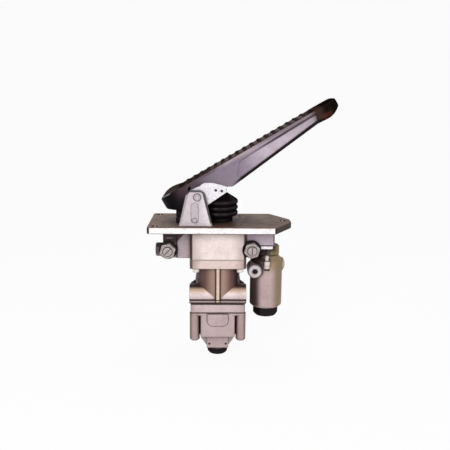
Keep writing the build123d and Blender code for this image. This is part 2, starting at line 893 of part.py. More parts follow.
def rest_buffer():
    """Rubber block on the plate that stops the heel."""
    half = buffer_width / 2
    block = slab(buffer_x_span, (-half, half), (plate_thickness, heel_floor_z - rest_gap))
    return fillet(block.edges().filter_by(Axis.Y).group_by(Axis.Z)[-1], buffer_corner)


def plunger_guide():
    """Turned guide: barrel through the plate, collar for the boot and a long nose."""
    return turned(
        (guide_bore, guide_bottom_z),
        (guide_radius, guide_bottom_z),
        (guide_radius, plate_thickness),
        (guide_collar_radius, plate_thickness),
        (guide_collar_radius, guide_collar_top_z - 1.0),
        (guide_collar_radius - 1.0, guide_collar_top_z),
        (guide_bore + 3.0, guide_collar_top_z),
        (guide_bore + 3.0, guide_top_z),
        (guide_bore, guide_top_z),
    )


def plunger():
    """Domed push rod with a neck groove for the boot and a spring seat at its foot."""
    dome_z = plunger_top_z - plunger_radius
    seat_bottom = plunger_seat_top_z - plunger_seat_thickness
    rod = turned(
        (0, seat_bottom),
        (plunger_seat_radius, seat_bottom),
        (plunger_seat_radius, plunger_seat_top_z),
        (plunger_radius, plunger_seat_top_z),
        (plunger_radius, dome_z - plunger_groove),
        (plunger_neck_radius, dome_z - plunger_groove),
        (plunger_neck_radius, dome_z),
        (0, dome_z),
    )
    cap = Pos(0, 0, dome_z) * Sphere(plunger_radius) & disc(plunger_radius + 1, dome_z, plunger_top_z + 1)
    return rod + cap


def boot():
    """Rubber bellows: a plain neck, wide folds, a cone and a lip at the plunger's neck."""
    deep = boot_fold_radius - boot_fold_depth
    outer = [(boot_neck_radius, plate_thickness + rest_gap), (boot_neck_radius, boot_fold_heights[0] - 4.6)]
    inner = [(boot_neck_radius - boot_wall, plate_thickness + rest_gap)]
    inner.append((boot_neck_radius - boot_wall, boot_fold_heights[0] - 3.4))
    for height in boot_fold_heights:
        outer.append((boot_fold_radius - 0.6, height - 2.6))
        outer.append((boot_fold_radius, height - 1.2))
        outer.append((boot_fold_radius, height + 1.2))
        outer.append((boot_fold_radius - 0.6, height + 2.4))
        inner.append((boot_fold_radius - boot_wall, height - 1.6))
        inner.append((boot_fold_radius - boot_wall, height + 1.6))
        if height != boot_fold_heights[-1]:
            outer.append((deep, height + boot_fold_pitch / 2))
            inner.append((deep - boot_wall, height + boot_fold_pitch / 2))
    neck = plunger_neck_radius + rest_gap
    rod = plunger_radius + rest_gap
    dome_z = plunger_top_z - plunger_radius
    groove_low = dome_z - plunger_groove + rest_gap
    groove_high = dome_z - rest_gap
    outer += [(rod + 2.2, boot_top_z - 1.8), (rod + 0.8, boot_top_z)]
    collar = [(rod - 0.6, boot_top_z), (rod + 0.1, dome_z + 1.5), (rod + 0.1, groove_high)]
    tip = [(neck, groove_high), (neck, groove_low), (rod, groove_low)]
    inner += [(rod + boot_wall, groove_low - 1.5)]
    return turned(*outer, *collar, *tip, *reversed(inner))


def graduating_spring():
    """Waisted rubber spring between the plunger's seat and the primary piston."""
    middle = (spring_top_z + primary_crown_top_z) / 2
    return turned(
        (spring_bore_radius, primary_crown_top_z),
        (spring_foot_radius, primary_crown_top_z),
        (spring_foot_radius, primary_crown_top_z + 4.0),
        (spring_waist_radius, middle),
        (spring_foot_radius, spring_top_z - 4.0),
        (spring_foot_radius, spring_top_z),
        (spring_bore_radius, spring_top_z),
    )


def upper_housing():
    """Cast housing under the plate, with lugs left and right and the set screw bosses."""
    length_span = (-half_housing, half_housing)
    housing = slab(length_span, (-half_depth, half_depth), (upper_bottom_z, 0), housing_corner)
    low = upper_bottom_z + left_lug_lift
    high = -left_lug_drop
    housing += slab(
        (left_lug_heel_x, -half_housing + lug_root),
        (-lug_half_depth, lug_half_depth),
        (low, high),
        left_corner,
    )
    port_span = (left_port_heel_x, left_lug_heel_x + lug_root)
    housing += slab(port_span, (-port_half_depth, port_half_depth), (low, high), left_corner)
    lug_span = (half_housing - lug_root, right_lug_toe_x)
    lug_depth = (-right_lug_half_depth, right_lug_half_depth)
    housing += slab(lug_span, lug_depth, (right_lug_bottom_z, 0), right_lug_corner)
    for x, z in set_screw_places:
        housing += bar_y(set_boss_radius, set_boss_front_y, set_boss_front_y + set_boss_length, x, z)
        housing -= bar_y(washer_radius + spot_clearance, -far, set_boss_front_y, x, z)
        housing -= bar_y(set_screw_radius + fixed_gap, -far, set_boss_front_y + set_bore_depth, x, z)
    housing -= disc(upper_bore_radius, upper_bottom_z - 1, 1)
    plug_end = left_port_heel_x + port_plug_bore
    housing -= bar_x(port_plug_radius + fixed_gap, left_port_heel_x - 1, plug_end, port_plug_y, port_plug_z)
    for x, y in four_places(plate_screw_x, plate_screw_y):
        housing -= Pos(x, y, 0) * plate_screw(fixed_gap)
    for x, y in four_places(flange_screw_x, flange_screw_y):
        top = upper_bottom_z + flange_screw_depth
        housing -= disc(flange_screw_radius + fixed_gap, upper_bottom_z - 1, top, x, y)
    for y in (-side_bolt_y, side_bolt_y):
        top = right_lug_bottom_z + side_bolt_depth
        housing -= disc(side_bolt_radius + fixed_gap, right_lug_bottom_z - 1, top, side_bolt_x, y)
    return housing


def along_y(shape, x, y, z, turn=0.0):
    """A shape drawn on XY, turned so that its +Z end faces -Y."""
    return Pos(x, y, z) * Rot(90, 0, 0) * Rot(0, 0, turn) * shape


def seal_washers():
    """Thick rubber washers behind the lock nuts."""
    bore = Cylinder(set_screw_radius + fixed_gap, 2 * washer_thickness)
    ring = Cylinder(washer_radius, washer_thickness) - bore
    middle = set_boss_front_y - washer_thickness / 2
    return [along_y(ring, x, middle, z) for x, z in set_screw_places]


def lock_nuts():
    """Chamfered hexagon nuts on the set screws."""
    nut = hex_nut(lock_nut_flats, lock_nut_thickness, set_screw_radius + fixed_gap)
    back = set_boss_front_y - washer_thickness
    return [along_y(nut, x, back, z, lock_nut_turn) for x, z in set_screw_places]


def set_screws():
    """Slotted screws with a broken edge."""
    end_y = set_boss_front_y - washer_thickness - lock_nut_thickness - 2.6
    screws = []
    for (x, z), angle in zip(set_screw_places, set_screw_slot_angles):
        rod = turned(
            (0, -set_screw_length),
            (set_screw_radius, -set_screw_length),
            (set_screw_radius, -1.0),
            (set_screw_radius - 1.0, 0),
            (0, 0),
        )
        slot = Rot(0, 0, angle) * Box(3 * set_screw_radius, set_screw_slot_width, 3.2)
        screws.append(along_y(rod - slot, x, end_y, z))
    return screws


def port_plug():
    """Hexagon plug in the left end of the upper housing."""
    head = extrude(hexagon(port_plug_flats), port_plug_head) & turned(
        (0, 0),
        (port_plug_flats, 0),
        (port_plug_flats, port_plug_head - 5.5),
        (port_plug_flats / 2 - 0.6, port_plug_head),
        (0, port_plug_head),
    )
    shank = Pos(0, 0, -port_plug_shank / 2) * Cylinder(port_plug_radius, port_plug_shank)
    return Pos(left_port_heel_x, port_plug_y, port_plug_z) * Rot(0, -90, 0) * (head + shank)


def stack_sheet(length, depth, z_low, z_high, corner):
    """Plate of the stack, centred on the valve axis."""
    return slab((-length / 2, length / 2), (-depth / 2, depth / 2), (z_low, z_high), corner)


def upper_gasket():
    """Sheet gasket between the upper and the middle housing."""
    length = housing_length - 1.0
    depth = housing_depth - 1.0
    sheet = stack_sheet(length, depth, middle_top_z, upper_bottom_z, housing_corner)
    sheet -= disc(piston_bore_radius, middle_top_z - 1, upper_bottom_z + 1)
    for x, y in four_places(flange_screw_x, flange_screw_y):
        sheet -= disc(flange_screw_radius + 0.3, middle_top_z - 1, upper_bottom_z + 1, x, y)
    return sheet


def rear_port_boss(x, z):
    """Boss on the back for an air line."""
    return bar_y(port_boss_radius, 0, port_face_y, x, z)


def rear_ports(z, chamber_z):
    """Two ports: the left one feeds the valve's cavity, the right one leads up to the delivery chamber."""
    cut = Part()
    for side in (-1, 1):
        cut += bar_y(port_radius, port_face_y - port_depth, port_face_y + 1, side * port_x, z)
    cut += drilling((-port_x, port_face_y - port_depth + 1, z), (-port_x / 2, valve_bore_radius / 2, z - 4.0))
    cut += drilling((port_x, port_face_y - port_depth + 1, z), (port_x / 2, valve_bore_radius, chamber_z))
    return cut


def drilling(start, end):
    """Straight air passage between two points."""
    path = Line(start, end)
    return sweep(Plane(origin=start, z_dir=path % 0) * Circle(port_passage_radius), path=path)


def middle_housing():
    """Cast housing: square flange, round waist with a rib, port saddle, base flange and two rear ports."""
    rib_front_y = -half_depth + rib_setback
    body = stack_sheet(housing_length, housing_depth, middle_flange_bottom_z, middle_top_z, housing_corner)
    body += disc(waist_radius, middle_bottom_z, middle_flange_bottom_z + 1)
    rib_span = (-rib_width / 2, rib_width / 2)
    body += slab(rib_span, (rib_front_y, 0), (middle_bottom_z, middle_flange_bottom_z + 1))
    half = saddle_length / 2
    saddle = bar_x(saddle_radius, -half, half, saddle_y, saddle_z)
    saddle &= slab((-far, far), (-far, far), (base_flange_top_z - 0.5, 0))
    body += saddle
    body += stack_sheet(
        saddle_length, base_flange_depth, middle_bottom_z, base_flange_top_z, plate_stack_corner,
    )
    groove_z = base_flange_top_z - base_groove_height
    groove = stack_sheet(far, far, groove_z, base_flange_top_z, 1.0)
    groove -= stack_sheet(
        saddle_length - 2 * base_groove_depth,
        base_flange_depth - 2 * base_groove_depth,
        groove_z - 1,
        base_flange_top_z + 1,
        plate_stack_corner,
    )
    groove -= slab(rib_span, (rib_front_y - 5, 0), (groove_z - 1, base_flange_top_z + 1))
    body -= groove
    for side in (-1, 1):
        body += rear_port_boss(side * port_x, port_middle_z)
    body -= disc(piston_bore_radius, piston_floor_z, middle_top_z + 1)
    body -= disc(stem_radius + running_gap, middle_seat_z - 1, piston_floor_z + 1)
    body -= disc(valve_bore_radius, middle_bottom_z - 1, middle_seat_z)
    body -= disc(relay_bore_radius, middle_bottom_z - 1, middle_bottom_z + 2.5)
    body -= rear_ports(port_middle_z, piston_floor_z + 3.0)
    for x, y in four_places(flange_screw_x, flange_screw_y):
        body -= disc(flange_screw_radius + fixed_gap, middle_flange_bottom_z - 1, middle_top_z + 1, x, y)
    for x, y in four_places(column_x, column_y):
        top = base_flange_top_z + (1.0 if y > 0 else -front_bolt_cover)
        body -= disc(body_bolt_radius + fixed_gap, middle_bottom_z - 1, top, x, y)
    return body


def flange_screws():
    """Four cap screws up through the middle housing's flange."""
    screws = []
    for x, y in four_places(flange_screw_x, flange_screw_y):
        head_low = middle_flange_bottom_z - flange_screw_head_length
        top = upper_bottom_z + flange_screw_depth - 0.3
        head = disc(flange_screw_head_radius, head_low, middle_flange_bottom_z, x, y)
        head = chamfer(head.edges().group_by(Axis.Z)[0], 0.6)
        socket = Pos(x, y, head_low - 0.1) * extrude(hexagon(5.0), 3.0)
        screws.append(head + disc(flange_screw_radius, middle_flange_bottom_z, top, x, y) - socket)
    return screws


def sealed_disc(radius, z_low, z_high):
    """Piston crown with a seal groove at mid height."""
    middle = (z_low + z_high) / 2
    half = seal_section_radius + seal_side_gap
    floor = radius - seal_set_back - 2 * seal_section_radius - fixed_gap
    return turned(
        (0, z_low),
        (radius, z_low),
        (radius, middle - half),
        (floor, middle - half),
        (floor, middle + half),
        (radius, middle + half),
        (radius, z_high),
        (0, z_high),
    )


def seal_ring(radius, z_low, z_high):
    """Round seal lying in a crown's groove."""
    centre = radius - seal_set_back - seal_section_radius
    return Pos(0, 0, (z_low + z_high) / 2) * Torus(centre, seal_section_radius)


primary_radius = piston_bore_radius - piston_clearance
primary_crown_bottom_z = primary_crown_top_z - primary_crown_thickness
upper_valve_top_z = middle_seat_z - valve_seat_gap
primary_stem_end_z = upper_valve_top_z + valve_lift_gap
relay_radius = relay_bore_radius - piston_clearance
relay_crown_bottom_z = relay_crown_top_z - relay_crown_thickness
lower_valve_top_z = lower_seat_z - valve_seat_gap
relay_stem_end_z = lower_valve_top_z + relay_lift_gap


def primary_piston():
    """Crown with a spigot for the rubber spring and a hollow exhaust stem."""
    piston = sealed_disc(primary_radius, primary_crown_bottom_z, primary_crown_top_z)
    piston += disc(primary_spigot_radius, primary_crown_top_z, primary_spigot_top_z)
    piston += disc(stem_radius, primary_stem_end_z, primary_crown_bottom_z)
    return piston - disc(stem_bore_radius, primary_stem_end_z - 1, primary_crown_bottom_z + 3)


def relay_piston():
    """Secondary circuit's piston, moved by the primary circuit's air."""
    piston = sealed_disc(relay_radius, relay_crown_bottom_z, relay_crown_top_z)
    piston += disc(stem_radius, relay_stem_end_z, relay_crown_bottom_z)
    return piston - disc(stem_bore_radius, relay_stem_end_z - 1, relay_crown_bottom_z + 3)


def inlet_valve(top_z):
    """Rubber faced disc with a hollow guide tube."""
    bottom = top_z - valve_disc_thickness
    valve = disc(valve_disc_radius, bottom, top_z)
    valve = chamfer(valve.edges().group_by(Axis.Z)[0], 1.0)
    valve += disc(valve_tube_radius, bottom - valve_tube_length, bottom)
    return valve - disc(2.4, bottom - valve_tube_length - 1, top_z + 1)


def valve_guide(top_z):
    """Perforated disc below an inlet valve that carries its tube and spring."""
    high = top_z - valve_disc_thickness - guide_disc_depth + guide_disc_thickness
    low = high - guide_disc_thickness
    guide = disc(valve_bore_radius - fixed_gap, low, high)
    guide -= disc(valve_tube_radius + running_gap, low - 1, high + 1)
    for angle in range(0, 360, 60):
        guide -= Rot(0, 0, angle) * disc(1.8, low - 1, high + 1, 9.4, 0)
    return guide


def valve_spring(top_z):
    """Spring that closes an inlet valve."""
    high = top_z - valve_disc_thickness
    low = high - guide_disc_depth + guide_disc_thickness
    return coil(valve_coil_radius, valve_wire_radius, low, high, coil_turns)


def intermediate_plate():
    """Thick plate between the housings with the relay piston's bore."""
    sheet = stack_sheet(
        plate_stack_length,
        housing_depth,
        intermediate_bottom_z,
        intermediate_top_z,
        plate_stack_corner,
    )
    return pierced(sheet, intermediate_bottom_z, intermediate_top_z, relay_bore_radius)


def pierced(sheet, z_low, z_high, bore_radius):
    """A plate of the stack with its bore and four bolt holes."""
    sheet -= disc(bore_radius, z_low - 1, z_high + 1)
    for x, y in four_places(column_x, column_y):
        sheet -= disc(body_bolt_radius + fixed_gap, z_low - 1, z_high + 1, x, y)
    return sheet


def stack_gasket(z_high):
    """Sheet gasket of the lower stack."""
    z_low = z_high - gasket_thickness
    sheet = stack_sheet(plate_stack_length - 1.0, housing_depth - 5.0, z_low, z_high, plate_stack_corner)
    return pierced(sheet, z_low, z_high, relay_bore_radius + 0.5)


def lower_housing():
    """Cast lower housing: flange, four bolt columns, flat-sided core, bowl and fixing lug."""
    body = stack_sheet(
        plate_stack_length,
        housing_depth,
        lower_top_z - lower_flange_thickness,
        lower_top_z,
        plate_stack_corner,
    )
    body += slab(
        (-core_length / 2, core_length / 2),
        (-half_depth, half_depth),
        (core_bottom_z, lower_top_z - 1),
        core_corner,
    )
    web_half_length = plate_stack_length / 2 - core_web_inset_x
    web_half_depth = half_depth - core_web_inset_y
    body += slab(
        (-web_half_length, web_half_length),
        (-web_half_depth, web_half_depth),
        (core_bottom_z + 1, lower_top_z - 1),
        core_web_corner,
    )
    for x, y in four_places(column_x, column_y):
        column = disc(column_radius, column_bottom_z, lower_top_z - 1, x, y)
        body += chamfer(column.edges().group_by(Axis.Z)[0], column_taper)
    half_badge = badge_boss_width / 2
    badge = rounded_outline(
        (-half_badge, lower_top_z - 1, 0.0),
        (-half_badge, badge_boss_bottom_z, badge_boss_radius),
        (half_badge, badge_boss_bottom_z, badge_boss_radius),
        (half_badge, lower_top_z - 1, 0.0),
    )
    body += extrude(upright_face(-half_depth + 1) * badge, 1 + badge_boss_height)
    body += turned(
        (0, bowl_bottom_z),
        (bowl_bottom_radius, bowl_bottom_z),
        (bowl_radius - 1.5, bowl_knuckle_z - 2.0),
        (bowl_radius, bowl_knuckle_z + 1.5),
        (bowl_radius, core_bottom_z + 1),
        (0, core_bottom_z + 1),
    )
    half_lug = lug_width / 2
    lug_front = -bowl_radius - lug_proud
    body += slab((-half_lug, half_lug), (lug_front, 0), (lug_bottom_z, core_bottom_z + 1))
    for side in (-1, 1):
        hole_end = lug_front + lug_hole_depth
        body -= bar_y(lug_hole_radius, lug_front - 1, hole_end, side * lug_hole_x, lug_hole_z)
        port = rear_port_boss(side * port_x, port_lower_z)
        body += port
    body -= disc(lower_recess_radius, lower_floor_z, lower_top_z + 1)
    body -= disc(stem_radius + running_gap, lower_seat_z - 1, lower_floor_z + 1)
    body -= disc(valve_bore_radius, bowl_bottom_z - 1, lower_seat_z)
    body -= rear_ports(port_lower_z, lower_floor_z + 2.0)
    for x, y in four_places(column_x, column_y):
        seat = column_bottom_z + body_bolt_head_length + 1.0
        body -= disc(body_bolt_head_radius + fixed_gap, column_bottom_z - 1, seat, x, y)
        body -= disc(body_bolt_radius + fixed_gap, seat - 1, lower_top_z + 1, x, y)
    return body


def body_bolts():
    """Four long cap screws up through the columns."""
    bolts = []
    for x, y in four_places(column_x, column_y):
        seat = column_bottom_z + body_bolt_head_length + 1.0
        head_low = seat - body_bolt_head_length
        top = base_flange_top_z + (rear_nut_thickness + 2.5 if y > 0 else -front_bolt_cover - 0.3)
        bolt = disc(body_bolt_head_radius, head_low, seat, x, y) + disc(body_bolt_radius, seat, top, x, y)
        bolts.append(bolt - Pos(x, y, head_low - 0.1) * extrude(hexagon(5.0), 3.1))
    return bolts


def rear_nuts():
    """Nuts on the two rear bolts, standing on the base flange."""
    nut = hex_nut(rear_nut_flats, rear_nut_thickness, body_bolt_radius + fixed_gap)
    return [Pos(side * column_x, column_y, base_flange_top_z) * nut for side in (-1, 1)]


def exhaust_silencer():
    """Rubber exhaust cap pushed into the bottom bore."""
    neck = valve_bore_radius - fixed_gap
    return turned(
        (exhaust_bore, bowl_bottom_z + exhaust_neck_length),
        (exhaust_bore, exhaust_bottom_z + exhaust_edge),
        (exhaust_hole, exhaust_bottom_z + exhaust_edge),
        (exhaust_hole, exhaust_bottom_z),
        (exhaust_radius - exhaust_edge, exhaust_bottom_z),
        (exhaust_radius - 0.3 * exhaust_edge, exhaust_bottom_z + 0.4 * exhaust_edge),
        (exhaust_radius, exhaust_bottom_z + exhaust_edge),
        (exhaust_radius, bowl_bottom_z),
        (neck, bowl_bottom_z),
        (neck, bowl_bottom_z + exhaust_neck_length),
    )


def side_gasket():
    """Black gasket under the right lug."""
    return side_sheet(side_flange_top_z, right_lug_bottom_z, side_flange_span[0], side_flange_span[1])


def side_flange():
    """Pale flange that carries the side valve."""
    return side_sheet(collar_top_z, side_flange_top_z, side_flange_span[0], side_flange_span[1])


def side_sheet(z_low, z_high, x_low, x_high):
    """Sheet of the side valve's joint with its two bolt holes."""
    half = right_lug_half_depth - side_flange_setback
    sheet = slab((x_low, x_high), (-half, half), (z_low, z_high), side_flange_corner)
    for y in (-side_bolt_y, side_bolt_y):
        sheet -= disc(side_bolt_radius + fixed_gap, z_low - 1, z_high + 1, side_bolt_x, y)
    return sheet


def side_collar():
    """Round yellow-passivated collar between the flange and the side valve."""
    ring = disc(collar_radius, side_top_z, collar_top_z)
    ring = chamfer(ring.edges(), collar_chamfer)
    return Pos(side_x, 0, 0) * ring


def side_body():
    """Side valve casting: shouldered cylinder, plug boss, bolt lugs and the dome's boss."""
    body = turned(
        (0, side_bottom_z),
        (side_radius - side_chamfer, side_bottom_z),
        (side_radius, side_bottom_z + side_chamfer),
        (side_radius, side_shoulder_z),
        (collar_radius, side_top_z - 2.0),
        (collar_radius - 1.0, side_top_z),
        (0, side_top_z),
    )
    body = Pos(side_x, 0, 0) * body
    socket_bore_end = socket_boss_front_y + socket_plug_shank + 1.5
    body += bar_y(socket_boss_radius, socket_boss_front_y, 0, socket_plug_x, socket_plug_z)
    for side in (-1, 1):
        low = side_lug_bottom_z
        lug_y = side * side_bolt_y
        body += disc(side_lug_radius, low, low + side_lug_height, side_bolt_x, lug_y)
        body += slab(
            (side_bolt_x - side_lug_radius, side_bolt_x + side_lug_radius),
            (min(lug_y, lug_y / 2), max(lug_y, lug_y / 2)),
            (low, low + side_lug_height),
        )
        body -= disc(side_bolt_radius + fixed_gap, low - 1, low + side_lug_height + 1, side_bolt_x, lug_y)
        spot_radius = side_bolt_head_radius + spot_clearance
        body -= disc(spot_radius, low - 2 * side_bolt_head_length, low, side_bolt_x, lug_y)
    bore_radius = socket_plug_thread + fixed_gap
    body -= bar_y(bore_radius, socket_boss_front_y - 1, socket_bore_end, socket_plug_x, socket_plug_z)
    body += bar_x(side_dome_radius, side_x, side_dome_seat_x, 0, side_dome_z)
    bore_start = side_dome_seat_x - side_plug_shank - 3.0
    body -= bar_x(side_dome_thread + fixed_gap, bore_start, side_dome_seat_x + 1, 0, side_dome_z)
    return body


def side_dome():
    """Round-nosed plug in the side valve's right flank."""
    reach = side_dome_height
    curve = (side_dome_radius ** 2 + reach ** 2) / (2 * reach)
    half_angle = asin(side_dome_radius / curve) / 2
    middle = (curve * sin(half_angle), reach - curve * (1 - cos(half_angle)))
    outline = Line((0, 0), (side_dome_radius, 0))
    outline += ThreePointArc((side_dome_radius, 0), middle, (0, reach))
    outline += Line((0, reach), (0, 0))
    nose = revolve(Plane.XZ * make_face(outline), Axis.Z)
    shank = Pos(0, 0, -side_plug_shank / 2) * Cylinder(side_dome_thread, side_plug_shank)
    return Pos(side_dome_seat_x, 0, side_dome_z) * Rot(0, 90, 0) * (nose + shank)


def socket_plug():
    """Round plug with a hexagon socket, facing forward."""
    head_length = socket_plug_head
    head = Pos(0, 0, head_length / 2) * Cylinder(socket_plug_radius, head_length)
    head = chamfer(head.edges().group_by(Axis.Z)[-1], 1.2)
    shank = Pos(0, 0, -socket_plug_shank / 2) * Cylinder(socket_plug_thread, socket_plug_shank)
    socket = Pos(0, 0, head_length - socket_depth) * extrude(hexagon(socket_flats), socket_depth + 1)
    return along_y(head + shank - socket, socket_plug_x, socket_boss_front_y, socket_plug_z)


def side_bolts():
    """Two bolts from the side valve's lugs up into the right lug."""
    bolts = []
    for y in (-side_bolt_y, side_bolt_y):
        seat = side_lug_bottom_z
        top = right_lug_bottom_z + side_bolt_depth - 0.3
        flats = 2 * side_bolt_head_radius * cos(radians(30))
        head = Pos(0, 0, seat - side_bolt_head_length) * extrude(hexagon(flats), side_bolt_head_length)
        bolts.append(Pos(side_bolt_x, y, 0) * (head + disc(side_bolt_radius, seat, top)))
    return bolts


def side_cap():
    """Hexagon cap that closes the side valve from below."""
    height = side_bottom_z - cap_bottom_z
    corner = cap_flats / 2 / cos(radians(30))
    blank = Pos(0, 0, cap_bottom_z) * extrude(hexagon(cap_flats), height)
    cone = turned(
        (0, cap_bottom_z),
        (corner - cap_chamfer, cap_bottom_z),
        (corner, cap_bottom_z + cap_chamfer),
        (corner, side_bottom_z),
        (0, side_bottom_z),
    )
    return Pos(side_x, 0, 0) * (blank & cone)


def parts():
    """Every sub-part by name, each a shape or a list of like shapes."""
    return {
        "mounting_plate": mounting_plate(),
        "plate_screws": plate_screws(),
        "front_ear": pivot_ear(-1),
        "rear_ear": pivot_ear(1),
        "pivot_pin": pivot_pin(),
        "pin_clip": pin_clip(),
        "rest_buffer": rest_buffer(),
        "pedal_body": pedal_body(),
        "pedal_pad": pedal_pad(),
        "lever_bracket": lever_bracket(),
        "bracket_screws": bracket_screws(),
        "pivot_bushes": pivot_bushes(),
        "plunger_guide": plunger_guide(),
        "plunger": plunger(),
        "boot": boot(),
        "graduating_spring": graduating_spring(),
        "upper_housing": upper_housing(),
        "seal_washers": seal_washers(),
        "lock_nuts": lock_nuts(),
        "set_screws": set_screws(),
        "port_plug": port_plug(),
        "upper_gasket": upper_gasket(),
        "middle_housing": middle_housing(),
        "flange_screws": flange_screws(),
        "primary_piston": primary_piston(),
        "primary_seal": seal_ring(primary_radius, primary_crown_bottom_z, primary_crown_top_z),
        "primary_return_spring": coil(
            return_coil_radius, return_wire_radius, piston_floor_z, primary_crown_bottom_z, coil_turns
        ),
        "upper_inlet_valve": inlet_valve(upper_valve_top_z),
        "upper_valve_spring": valve_spring(upper_valve_top_z),
        "upper_valve_guide": valve_guide(upper_valve_top_z),
        "middle_gasket": stack_gasket(middle_bottom_z),
        "intermediate_plate": intermediate_plate(),
        "relay_piston": relay_piston(),
        "relay_seal": seal_ring(relay_radius, relay_crown_bottom_z, relay_crown_top_z),
        "relay_return_spring": coil(
            relay_coil_radius, return_wire_radius, lower_floor_z, relay_crown_bottom_z, coil_turns - 1
        ),
        "lower_gasket": stack_gasket(intermediate_bottom_z),
        "lower_housing": lower_housing(),
        "lower_inlet_valve": inlet_valve(lower_valve_top_z),
        "lower_valve_spring": valve_spring(lower_valve_top_z),
        "lower_valve_guide": valve_guide(lower_valve_top_z),
        "body_bolts": body_bolts(),
        "rear_nuts": rear_nuts(),
        "exhaust_silencer": exhaust_silencer(),
        "side_gasket": side_gasket(),
        "side_flange": side_flange(),
        "side_collar": side_collar(),
        "side_valve_body": side_body(),
        "side_dome_plug": side_dome(),
        "socket_plug": socket_plug(),
        "side_bolts": side_bolts(),
        "side_cap": side_cap(),
    }


def main():
    os.makedirs("parts", exist_ok=True)
    for name, shape in parts().items():
        solids = []
        for piece in shape if isinstance(shape, list) else [shape]:
            solids += list(piece.solids())
        whole = solids[0] if len(solids) == 1 else Compound(children=solids)
        export_step(whole, f"parts/{name}.step")


main()
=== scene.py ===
import json
import math

import bmesh
import bpy
import numpy as np
from bpy.props import FloatProperty, FloatVectorProperty, IntProperty, PointerProperty
from bpy.types import Operator, Panel, PropertyGroup
from mathutils import Matrix, Vector


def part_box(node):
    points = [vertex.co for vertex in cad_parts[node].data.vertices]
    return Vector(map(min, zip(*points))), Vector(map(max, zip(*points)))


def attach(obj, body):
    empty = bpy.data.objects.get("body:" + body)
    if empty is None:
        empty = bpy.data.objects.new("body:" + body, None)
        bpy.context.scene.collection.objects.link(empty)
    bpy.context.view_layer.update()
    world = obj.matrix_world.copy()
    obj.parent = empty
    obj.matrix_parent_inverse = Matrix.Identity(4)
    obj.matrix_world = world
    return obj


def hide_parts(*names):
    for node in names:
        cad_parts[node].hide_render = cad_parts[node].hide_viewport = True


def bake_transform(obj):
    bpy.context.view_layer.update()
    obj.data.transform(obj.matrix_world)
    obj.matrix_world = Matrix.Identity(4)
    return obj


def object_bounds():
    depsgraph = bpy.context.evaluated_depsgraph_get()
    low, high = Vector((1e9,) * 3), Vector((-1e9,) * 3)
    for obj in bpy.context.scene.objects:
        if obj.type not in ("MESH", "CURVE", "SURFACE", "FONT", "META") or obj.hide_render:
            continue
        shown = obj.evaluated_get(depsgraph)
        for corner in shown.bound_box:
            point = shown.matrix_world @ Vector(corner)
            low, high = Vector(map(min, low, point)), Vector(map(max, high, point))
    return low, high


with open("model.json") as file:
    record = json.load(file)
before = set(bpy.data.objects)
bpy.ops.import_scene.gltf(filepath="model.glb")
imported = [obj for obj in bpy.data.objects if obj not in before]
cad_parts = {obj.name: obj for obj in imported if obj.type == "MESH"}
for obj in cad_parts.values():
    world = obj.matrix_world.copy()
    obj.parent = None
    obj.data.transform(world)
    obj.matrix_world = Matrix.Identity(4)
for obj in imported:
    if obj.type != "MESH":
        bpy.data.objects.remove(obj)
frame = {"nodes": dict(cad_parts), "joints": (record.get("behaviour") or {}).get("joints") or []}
CAD_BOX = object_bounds()

bl_info = {
    "name": "Truck foot brake valve finish",
    "version": (1, 0, 0),
    "blender": (4, 5, 0),
    "location": "View3D > Sidebar > Brake Valve",
    "description": "Dresses a floor-mounted air brake foot valve: castings, boot, tread and fittings",
    "category": "Object",
}

MM = 0.001
NODES = frame["nodes"]
HINGE = next(joint for joint in frame["joints"] if joint["name"] == "pedal_hinge")
PIN = Vector(HINGE["pos_m"])
PEDAL_TILT = math.radians(30.3)


def lowest(node):
    """Lowest corner of a CAD node, in metres."""
    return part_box(node)[0]


def highest(node):
    """Highest corner of a CAD node, in metres."""
    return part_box(node)[1]


def centre(node):
    """Middle of a CAD node's box, in metres."""
    return (lowest(node) + highest(node)) / 2


def paint(red, green, blue):
    """A display colour in 0 to 255 as the linear colour that a shader takes."""
    return tuple(((part / 255 + 0.055) / 1.055) ** 2.4 for part in (red, green, blue))


def colour_setting(name, about, colour):
    """A colour that a user may change, given in 0 to 255."""
    return FloatVectorProperty(name=name, description=about, subtype="COLOR", default=paint(*colour))


# Sizes and colours that a user would change


class StageSettings(PropertyGroup):
    """Camera, lamps and floor."""

    lens: FloatProperty(name="Lens", description="Focal length", default=48.97, unit="CAMERA")
    key_power: FloatProperty(name="Key", description="Power of the soft lamp in front", default=22.0)
    fill_power: FloatProperty(name="Fill", description="Power of the soft lamp at the right", default=8.0)
    top_power: FloatProperty(name="Top", description="Power of the lamp overhead", default=9.0)
    room: FloatProperty(name="Room", description="Brightness of the plain room", default=0.22)
    floor_gap: FloatProperty(name="Floor gap", description="Below the valve", default=0.0018, unit="LENGTH")


class CastingSettings(PropertyGroup):
    """Looks of the cast housings."""

    upper: colour_setting("Upper", "Upper block", (232, 216, 212))
    middle: colour_setting("Middle", "Waist and saddles", (204, 187, 186))
    plate: colour_setting("Plate", "Stack plate", (200, 180, 182))
    lower: colour_setting("Lower", "Lower body", (186, 166, 166))
    side: colour_setting("Side", "Side valve", (181, 159, 157))
    # Brown is painted shade on the rounded edges of the castings.
    brown: colour_setting("Brown", "Stain in corners and on rounds", (84, 62, 58))
    grain: FloatProperty(name="Grain", description="Size of the sand grain", default=0.0006, unit="LENGTH")
    depth: FloatProperty(name="Depth", description="Depth of the grain", default=0.00012, unit="LENGTH")


